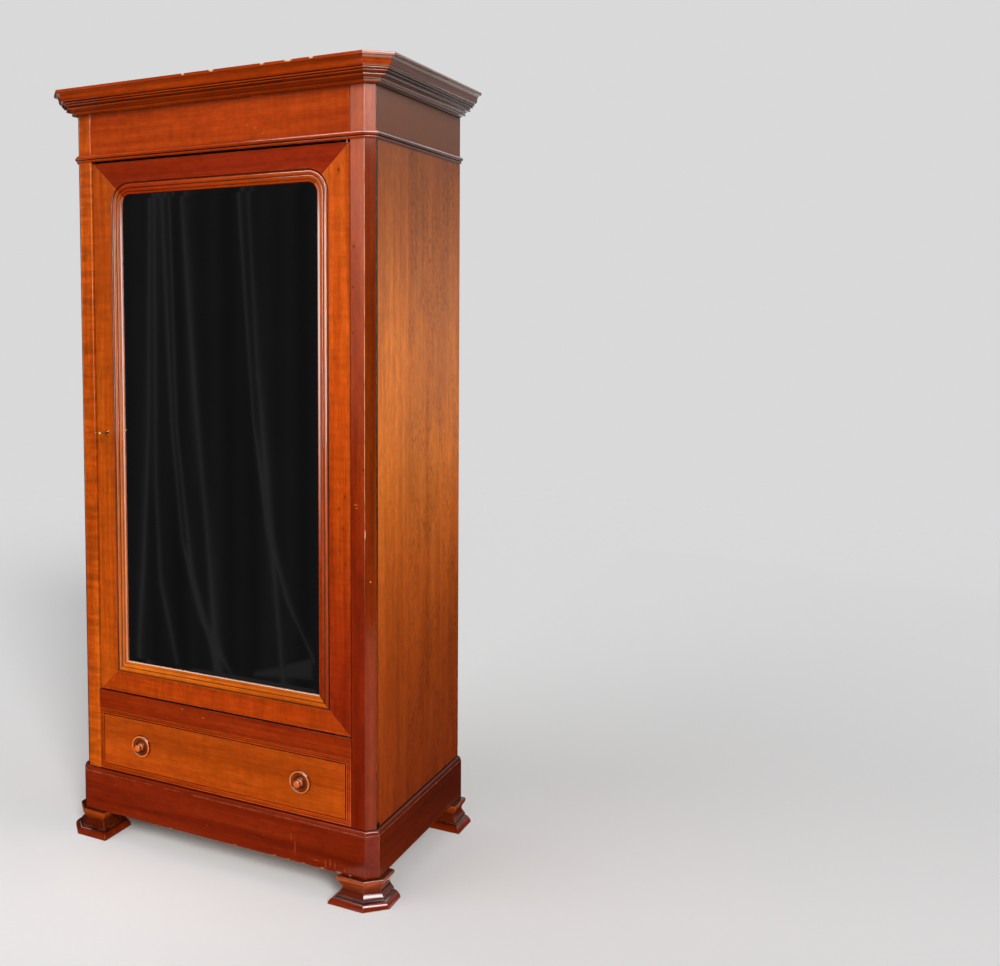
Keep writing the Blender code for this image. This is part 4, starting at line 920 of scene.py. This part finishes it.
def join_facets():
    """Geometry nodes that weld a node's facets and shade shallow bends as curves."""
    group = bpy.data.node_groups.new("join_facets", "GeometryNodeTree")
    for way in ("INPUT", "OUTPUT"):
        group.interface.new_socket("Geometry", in_out=way, socket_type="NodeSocketGeometry")
    kinds = ("NodeGroupInput", "GeometryNodeMergeByDistance", "GeometryNodeRemoveAttribute",
             "GeometryNodeSetShadeSmooth", "GeometryNodeSetShadeSmooth", "NodeGroupOutput")
    chain = [group.nodes.new(kind) for kind in kinds]
    for before, after in zip(chain, chain[1:]):
        group.links.new(before.outputs["Geometry"], after.inputs["Geometry"])
    weld, plain, _, edges = chain[1:-1]
    weld.inputs["Distance"].default_value = JOIN_DISTANCE
    plain.inputs["Name"].default_value = "custom_normal"
    edges.domain = "EDGE"
    edges.inputs["Shade Smooth"].default_value = False
    bend = group.nodes.new("GeometryNodeInputMeshEdgeAngle")
    sharp = group.nodes.new("FunctionNodeCompare")
    sharp.operation = "GREATER_THAN"
    sharp.inputs["B"].default_value = FACET_ANGLE
    group.links.new(bend.outputs["Unsigned Angle"], sharp.inputs["A"])
    group.links.new(sharp.outputs["Result"], edges.inputs["Selection"])
    return group


def soften(node, group, width):
    """Rounds the hard edges of a CAD node with modifiers, and leaves its mesh alone."""
    node.modifiers.new("join_facets", "NODES").node_group = group
    rounding = node.modifiers.new("round_edges", "BEVEL")
    rounding.width = width
    rounding.segments = ROUND_SEGMENTS
    rounding.limit_method = "ANGLE"
    rounding.angle_limit = FACET_ANGLE
    rounding.use_clamp_overlap = True
    even = node.modifiers.new("even_shading", "WEIGHTED_NORMAL")
    even.keep_sharp = True


def round_all():
    """Softens every CAD node but the mirror."""
    group = join_facets()
    for name, node in nodes.items():
        if name != "mirror":
            soften(node, group, FINE_ROUNDING if name in FINE_PIECES else PLAIN_ROUNDING)


def dress(name, material):
    """Gives a CAD node its finish."""
    mesh = nodes[name].data
    mesh.materials.clear()
    mesh.materials.append(material)


def mark(paint, name):
    """Knots and marks of a piece, from the tables."""
    face, knots = KNOTS.get(name, (0.0, ()))
    for across, height, radius in knots:
        paint.knot((across, face, height), radius)
    for face, deep, over, strength, places in MARKS.get(name, ()):
        for across, height, wide, tall in places:
            paint.spot((across, face, height), (wide, deep, tall), over, strength)


def dress_cherry():
    for index, (name, grain, tones, streaks, ripple, treat) in enumerate(CHERRY_PIECES):
        paint = Cherry(f"cherry_{name}", grain, CHERRY_SEED + SEED_STEP * index, tones, streaks)
        if ripple:
            paint.ripple(ripple)
        if treat:
            treat(paint)
        mark(paint, name)
        # wear and painted highlight on the edges
        paint.wear_and_highlight(*BOARD_EDGES)
        dress(name, paint.lacquered(*(SATIN if treat is side_panel else LACQUER)))
    for index, (name, grain, tones, treat) in enumerate(MOULDED_PIECES):
        paint = Cherry(f"moulded_{name}", grain, MOULDED_SEED + SEED_STEP * index, tones, MOULDED_STREAKS)
        treat(paint)
        mark(paint, name)
        # painted shade in the hollows; on the feet also wear and painted highlight on the edges
        if treat is foot:
            paint.shade_hollows(*FOOT_HOLLOW_SHADE)
            paint.wear_and_highlight(*FOOT_EDGES)
        else:
            paint.shade_hollows(*MOULDING_HOLLOW_SHADE)
        dress(name, paint.lacquered(*MOULDING_GLOSS))
    paint = Cherry("cherry_mirror_moulding", "Z", FRAME_SEED, HONEY, MOULDED_STREAKS, mitred=True)
    # painted shade in the frame's grooves
    paint.shade_hollows(*FRAME_HOLLOW_SHADE)
    glass_frame(paint)
    dress("mirror_moulding", paint.lacquered(*FRAME_GLOSS))


def dress_plain_wood():
    for grain, names in BARE_PIECES.items():
        for index, name in enumerate(names):
            dress(name, pale_wood(f"wood_{name}", grain, BARE_SEED + SEED_STEP * index))
    for index, (name, grain) in enumerate(PLY_PIECES):
        dress(name, ply_sheet(f"ply_{name}", grain, PLY_SEED + SEED_STEP * index))


def dress_metal():
    brass = aged_brass("aged_brass")
    steel = plain_steel("plain_steel")
    for name in BRASS_PIECES:
        dress(name, brass)
    for name in STEEL_PIECES:
        dress(name, steel)
    dress("mirror", silvered_glass("silvered_glass"))


def add_object(name, mesh, material):
    item = bpy.data.objects.new(name, mesh)
    bpy.context.scene.collection.objects.link(item)
    mesh.materials.append(material)
    return item


def make_mesh(name, points, faces):
    mesh = bpy.data.meshes.new(name)
    mesh.from_pydata(points, [], faces)
    return mesh


def smooth_path(points, steps):
    """A finer path through the points, without corners."""
    path = []
    for index in range(len(points) - 1):
        before = Vector(points[max(index - 1, 0)])
        start = Vector(points[index])
        end = Vector(points[index + 1])
        after = Vector(points[min(index + 2, len(points) - 1)])
        for step in range(steps):
            share = step / steps
            bend = (end - before) * share + (2 * before - 5 * start + 4 * end - after) * share ** 2
            bend += (3 * start - before - 3 * end + after) * share ** 3
            path.append(start + bend / 2)
    path.append(Vector(points[-1]))
    return path


def grid_faces(rows, columns, width):
    """Faces between rows of points; with as many columns as points in a row, the rows close up."""
    faces = []
    for row in range(rows):
        for column in range(columns):
            corner = row * width + column
            beside = row * width + (column + 1) % width
            faces.append((corner, beside, beside + width, corner + width))
    return faces


def turned(outline, steps):
    """Points and faces of a closed shape turned round the Z axis; the outline is (radius, height)."""
    points = []
    for radius, level in outline:
        for step in range(steps):
            turn = math.tau * step / steps
            points.append((radius * math.cos(turn), radius * math.sin(turn), level))
    faces = grid_faces(len(outline) - 1, steps, steps)
    faces.append(tuple(reversed(range(steps))))
    faces.append(tuple(range(len(points) - steps, len(points))))
    return points, faces


def make_knobs():
    """Finely turned knobs in the place of the faceted ones."""
    points, faces = turned(smooth_path(KNOB, KNOB_FINENESS), KNOB_STEPS)
    for index, (node, (across, height)) in enumerate(KNOB_PLACES.items()):
        name = f"turned_{node}"
        paint = Cherry(name, "X", KNOB_SEED + SEED_STEP * index, ROSY, MOULDED_STREAKS)
        radius = paint.distance((across, FRONT, height), (KNOB_RADIUS, FAR, KNOB_RADIUS))
        # painted light and shade by the radius: bright ring and button, dark dish, and a painted shadow round
        # the foot
        paint.tint(radius, SHADES["knob"])
        # painted shade in the hollows, then wear and painted highlight on the edges
        paint.shade_hollows(*KNOB_HOLLOW_SHADE)
        paint.wear_and_highlight(*KNOB_EDGES)
        mesh = make_mesh(name, [(across + x, FRONT - z, height + y) for x, y, z in points], faces)
        mesh.shade_smooth()
        knob = add_object(name, mesh, paint.lacquered(*KNOB_GLOSS))
        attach(knob, "drawer")
        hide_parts(node)


def slotted_head(radius, height):
    """Points and faces of a screw head with a slot, on the XY plane."""
    swing = math.acos(SLOT_WIDTH / 2)
    angles = []
    for middle in (0.0, math.pi):
        angles += [middle - swing + 2 * swing * step / HEAD_STEPS for step in range(HEAD_STEPS + 1)]
    count = len(angles)
    points = []
    for level, wide in ((0.0, radius), (height, radius * SCREW_TAPER)):
        points += [(wide * math.cos(angle), wide * math.sin(angle), level) for angle in angles]
    last = HEAD_STEPS
    ends = (0, last, last + 1, count - 1)
    floor = {end: 2 * count + index for index, end in enumerate(ends)}
    for end in ends:
        points.append((points[end][0] * SLOT_LENGTH, points[end][1] * SLOT_LENGTH, height * SLOT_FLOOR))
    faces = []
    for start in (0, last + 1):
        stop = start + last
        for index in range(start, stop):
            wall = [index, index + 1, index + 1 + count, index + count]
            if index == start:
                wall.append(floor[start])
            if index + 1 == stop:
                wall.insert(2, floor[stop])
            faces.append(wall)
        faces.append(list(range(start + count, stop + count + 1)))
        faces.append([start + count, stop + count, floor[stop], floor[start]])
    faces.append([last, last + 1, floor[last + 1], floor[last]])
    faces.append([count - 1, 0, floor[0], floor[count - 1]])
    faces.append([floor[0], floor[last], floor[last + 1], floor[count - 1]])
    faces.append(list(reversed(range(count))))
    return points, faces


def make_heads(name, form, places, out, body, material):
    """A row of screw or nail heads that face one way."""
    points = []
    faces = []
    for index, place in enumerate(places):
        turn = Vector(out).to_track_quat("Z", "Y").to_matrix() @ Matrix.Rotation(HEAD_TURN * index, 3, "Z")
        first = len(points)
        points += [turn @ Vector(point) + Vector(place) for point in form[0]]
        faces += [[first + corner for corner in face] for face in form[1]]
    heads = add_object(name, make_mesh(name, points, faces), material)
    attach(heads, body)


def around(low, high, inset, spacing):
    """Evenly spread places (x, z) round the inside of a rectangle."""
    left, foot = low[0] + inset, low[2] + inset
    right, top = high[0] - inset, high[2] - inset
    places = []
    columns = max(1, round((right - left) / spacing))
    rows = max(1, round((top - foot) / spacing))
    for step in range(columns + 1):
        across = left + (right - left) * step / columns
        places += [(across, foot), (across, top)]
    for step in range(1, rows):
        height = foot + (top - foot) * step / rows
        places += [(left, height), (right, height)]
    return places


def make_fasteners():
    steel = plain_steel("screw_steel")
    screw = slotted_head(SCREW_RADIUS, SCREW_HEIGHT)
    nail = turned([(NAIL_RADIUS * wide, NAIL_HEIGHT * tall) for wide, tall in NAIL_OUTLINE], HEAD_STEPS)
    low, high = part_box("lock_case")
    inset = 2 * SCREW_RADIUS
    sides = (low.x + inset, high.x - inset)
    corners = [(x, high.y, z) for x in sides for z in (low.z + inset, high.z - inset)]
    make_heads("lock_screws", screw, corners, (0, 1, 0), "door", steel)
    for node, side in (("rail_socket_left", 1), ("rail_socket_right", -1)):
        low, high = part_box(node)
        wall = low.x if side > 0 else high.x
        middle = (low + high) / 2
        reach = (high.z - low.z) / 2 - SOCKET_SCREW_INSET
        places = [(wall + side * SOCKET_FLANGE, middle.y, middle.z + way * reach) for way in (1, -1)]
        make_heads(node.replace("rail_socket", "socket_screws"), screw, places, (side, 0, 0), "case", steel)
    for node, name, body in (("back_panel", "back_nails", "case"),
                             ("mirror_backing", "backing_pins", "door")):
        low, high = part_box(node)
        places = [(x, high.y, z) for x, z in around(low, high, NAIL_INSET, NAIL_SPACING)]
        make_heads(name, nail, places, (0, 1, 0), body, steel)


def add_sheet(name, corners, material):
    """A flat piece with four corners."""
    return add_object(name, make_mesh(name, corners, [(0, 1, 2, 3)]), material)


def only_reflected(item):
    """Marks a piece of the studio that shows in reflections and nowhere else."""
    item.visible_camera = False
    item.visible_diffuse = False
    item.visible_shadow = False
    item.visible_transmission = False


def glow(name, strength):
    """A surface that gives an even light."""
    paint = Paint(name)
    paint.finish((0.0, 0.0, 0.0, 1.0), 1.0, Specular_IOR_Level=0.0, Emission_Color=(1.0, 1.0, 1.0, 1.0))
    paint.feed(paint.shader.inputs["Emission Strength"], strength)
    return paint


def make_floor():
    """A pale floor that fades into the background."""
    paint = Paint("floor_paint")
    paint.finish((*linear(FLOOR_COLOUR), 1.0), 0.9, Specular_IOR_Level=0.1)
    clear = paint.add("ShaderNodeBsdfTransparent")
    fade = paint.remap(paint.distance((0.0, 0.0, 0.0)), FLOOR_INNER, FLOOR_OUTER)
    mix = paint.add("ShaderNodeMixShader", Fac=fade)
    paint.feed(mix.inputs[1], paint.shader.outputs["BSDF"])
    paint.feed(mix.inputs[2], clear.outputs["BSDF"])
    paint.feed(paint.tree.nodes["Material Output"].inputs["Surface"], mix.outputs["Shader"])
    corners = [(x * FLOOR_HALF, y * FLOOR_HALF, 0) for x, y in SQUARE]
    add_sheet("floor", corners, paint.material)


def fold_azimuth(path, height):
    """Azimuth of a fold at a height."""
    for (upper, first), (lower, last) in zip(path, path[1:]):
        if height >= lower:
            return last + (first - last) * (height - lower) / (upper - lower)
    return path[-1][1]


def heap_tone(azimuth, height):
    """How much painted light the cloth gets where it lies in a heap at its foot."""
    first, last, foot, first_top, last_top, pale = DRAPE_HEAP
    top = first_top + (last_top - first_top) * (azimuth - first) / (last - first)
    inside = min((top - height) / HEAP_SOFT, (height - foot) / HEAP_SOFT, azimuth - first, last - azimuth)
    return pale * max(0.0, min(1.0, inside + 0.5))


def make_drape(name, first, last, tall, distance):
    """A hanging dark cloth with a few sharp folds; it glows with painted light, paler along the folds."""
    columns = int((last - first) * DRAPE_COLUMNS_PER_DEGREE)
    points = []
    tones = []
    for row in range(DRAPE_ROWS + 1):
        height = tall * (row / DRAPE_ROWS) ** DRAPE_CROWDING
        folds = [(width, drop, fold_azimuth(path, height)) for width, drop, path in DRAPE_FOLDS]
        for column in range(columns + 1):
            azimuth = first + (last - first) * column / columns
            reach = distance
            tone = CLOTH_PALE
            for amount, pace, start in CLOTH_WAVES:
                tone += amount * math.sin(azimuth * pace + start)
            for width, drop, middle in folds:
                near = math.exp(-abs(azimuth - middle) / width)
                reach -= drop * near
                tone += FOLD_PALE * near
            points.append(toward(azimuth) * reach + Vector((0.0, 0.0, height)))
            tones.append(min(max(tone, heap_tone(azimuth, height)), 1.0))
    mesh = make_mesh(name, points, grid_faces(DRAPE_ROWS, columns, columns + 1))
    mesh.shade_smooth()
    mesh.attributes.new("fold_light", "FLOAT", "POINT").data.foreach_set("value", tones)
    paint = glow(f"{name}_cloth", 1.0)
    fold_light = paint.tree.nodes.new("ShaderNodeAttribute")
    fold_light.attribute_name = "fold_light"
    colour = paint.ramp(fold_light.outputs["Fac"], DRAPE_TONES, DRAPE_STOPS)
    paint.feed(paint.shader.inputs["Emission Color"], colour)
    only_reflected(add_object(name, mesh, paint.material))


def make_train():
    """The end of the cloth, spread over the floor round the part; it glows with a fixed dark tone in place of
    lit cloth.
    """
    points = []
    faces = []
    for first, last, outer in TRAIN_ARCS:
        start = len(points)
        for step in range(TRAIN_STEPS + 1):
            way = toward(first + (last - first) * step / TRAIN_STEPS)
            points += [way * reach + Vector((0.0, 0.0, TRAIN_LEVEL)) for reach in (TRAIN_INNER, outer)]
        faces += [[start + corner for corner in face] for face in grid_faces(TRAIN_STEPS, 1, 2)]
    paint = glow("train_cloth", 1.0)
    paint.feed(paint.shader.inputs["Emission Color"], (*linear(TRAIN_TONE), 1.0))
    only_reflected(add_object("drape_train", make_mesh("drape_train", points, faces), paint.material))


def make_softboxes():
    for name, centre, target, width, height, strength in SOFTBOXES:
        corners = [(x * width / 2, y * height / 2, 0) for x, y in SQUARE]
        box = add_sheet(name, corners, glow(name, strength).material)
        box.location = centre
        box.rotation_euler = (Vector(target) - Vector(centre)).to_track_quat("-Z", "Y").to_euler()
        only_reflected(box)


def make_panels():
    """Upright panels whose light changes with the height."""
    for name, start, end, stops in PANELS:
        strongest = max(light for _, light in stops)
        left, right = [toward(azimuth) * reach for azimuth, reach in (start, end)]
        low = Vector((0.0, 0.0, stops[0][0]))
        high = Vector((0.0, 0.0, stops[-1][0]))
        paint = glow(f"{name}_glow", strongest)
        lights = [(level, [light / strongest] * 3) for level, light in stops]
        paint.feed(paint.shader.inputs["Emission Color"], paint.scale_ramp(paint.height, lights))
        only_reflected(add_sheet(name, [left + low, right + low, right + high, left + high], paint.material))


def make_suns():
    for name, azimuth, elevation, disc, strength in SUNS:
        light = bpy.data.lights.new(name, "SUN")
        light.energy = strength
        light.angle = math.radians(disc)
        lamp = bpy.data.objects.new(name, light)
        bpy.context.scene.collection.objects.link(lamp)
        lamp.location = toward(azimuth, elevation) * LAMP_DISTANCE
        lamp.rotation_euler = (-toward(azimuth, elevation)).to_track_quat("-Z", "Y").to_euler()
        lamp.visible_glossy = False


def make_world():
    """Even light all round, and a plain pale background for the camera and for reflections."""
    world = bpy.data.worlds.new("studio")
    bpy.context.scene.world = world
    world.use_nodes = True
    tree = world.node_tree
    light = tree.nodes["Background"]
    light.inputs["Color"].default_value = (1.0, 1.0, 1.0, 1.0)
    light.inputs["Strength"].default_value = AMBIENT
    shown = tree.nodes.new("ShaderNodeBackground")
    shown.inputs["Color"].default_value = (*linear(BACKGROUND), 1.0)
    rays = tree.nodes.new("ShaderNodeLightPath")
    seen = rays.outputs["Is Camera Ray"]
    for kind in ("Is Glossy Ray", "Is Transmission Ray"):
        either = tree.nodes.new("ShaderNodeMath")
        either.operation = "MAXIMUM"
        tree.links.new(seen, either.inputs[0])
        tree.links.new(rays.outputs[kind], either.inputs[1])
        seen = either.outputs["Value"]
    mix = tree.nodes.new("ShaderNodeMixShader")
    tree.links.new(seen, mix.inputs["Fac"])
    tree.links.new(light.outputs["Background"], mix.inputs[1])
    tree.links.new(shown.outputs["Background"], mix.inputs[2])
    tree.links.new(mix.outputs["Shader"], tree.nodes["World Output"].inputs["Surface"])


def make_camera():
    data = bpy.data.cameras.new("camera")
    data.sensor_width = SENSOR_MM
    data.lens = FOCAL_PIXELS * SENSOR_MM / IMAGE_WIDTH
    data.shift_x = (IMAGE_WIDTH / 2 - PRINCIPAL_POINT[0]) / IMAGE_WIDTH
    data.shift_y = (PRINCIPAL_POINT[1] - IMAGE_HEIGHT / 2) / IMAGE_WIDTH
    camera = bpy.data.objects.new("camera", data)
    bpy.context.scene.collection.objects.link(camera)
    place = Matrix.Translation(CAMERA_PLACE) @ Matrix.Rotation(CAMERA_AZIMUTH, 4, "Z")
    tilt = Matrix.Rotation(math.pi / 2 - CAMERA_PITCH, 4, "X") @ Matrix.Rotation(CAMERA_ROLL, 4, "Z")
    camera.matrix_world = place @ tilt
    bpy.context.scene.camera = camera


bpy.context.scene.view_settings.view_transform = "Standard"
make_camera()
make_world()
make_suns()
make_softboxes()
make_floor()
make_panels()
for arc in DRAPE_ARCS:
    make_drape(*arc)
make_train()
dress_cherry()
dress_plain_wood()
dress_metal()
make_knobs()
make_fasteners()
round_all()
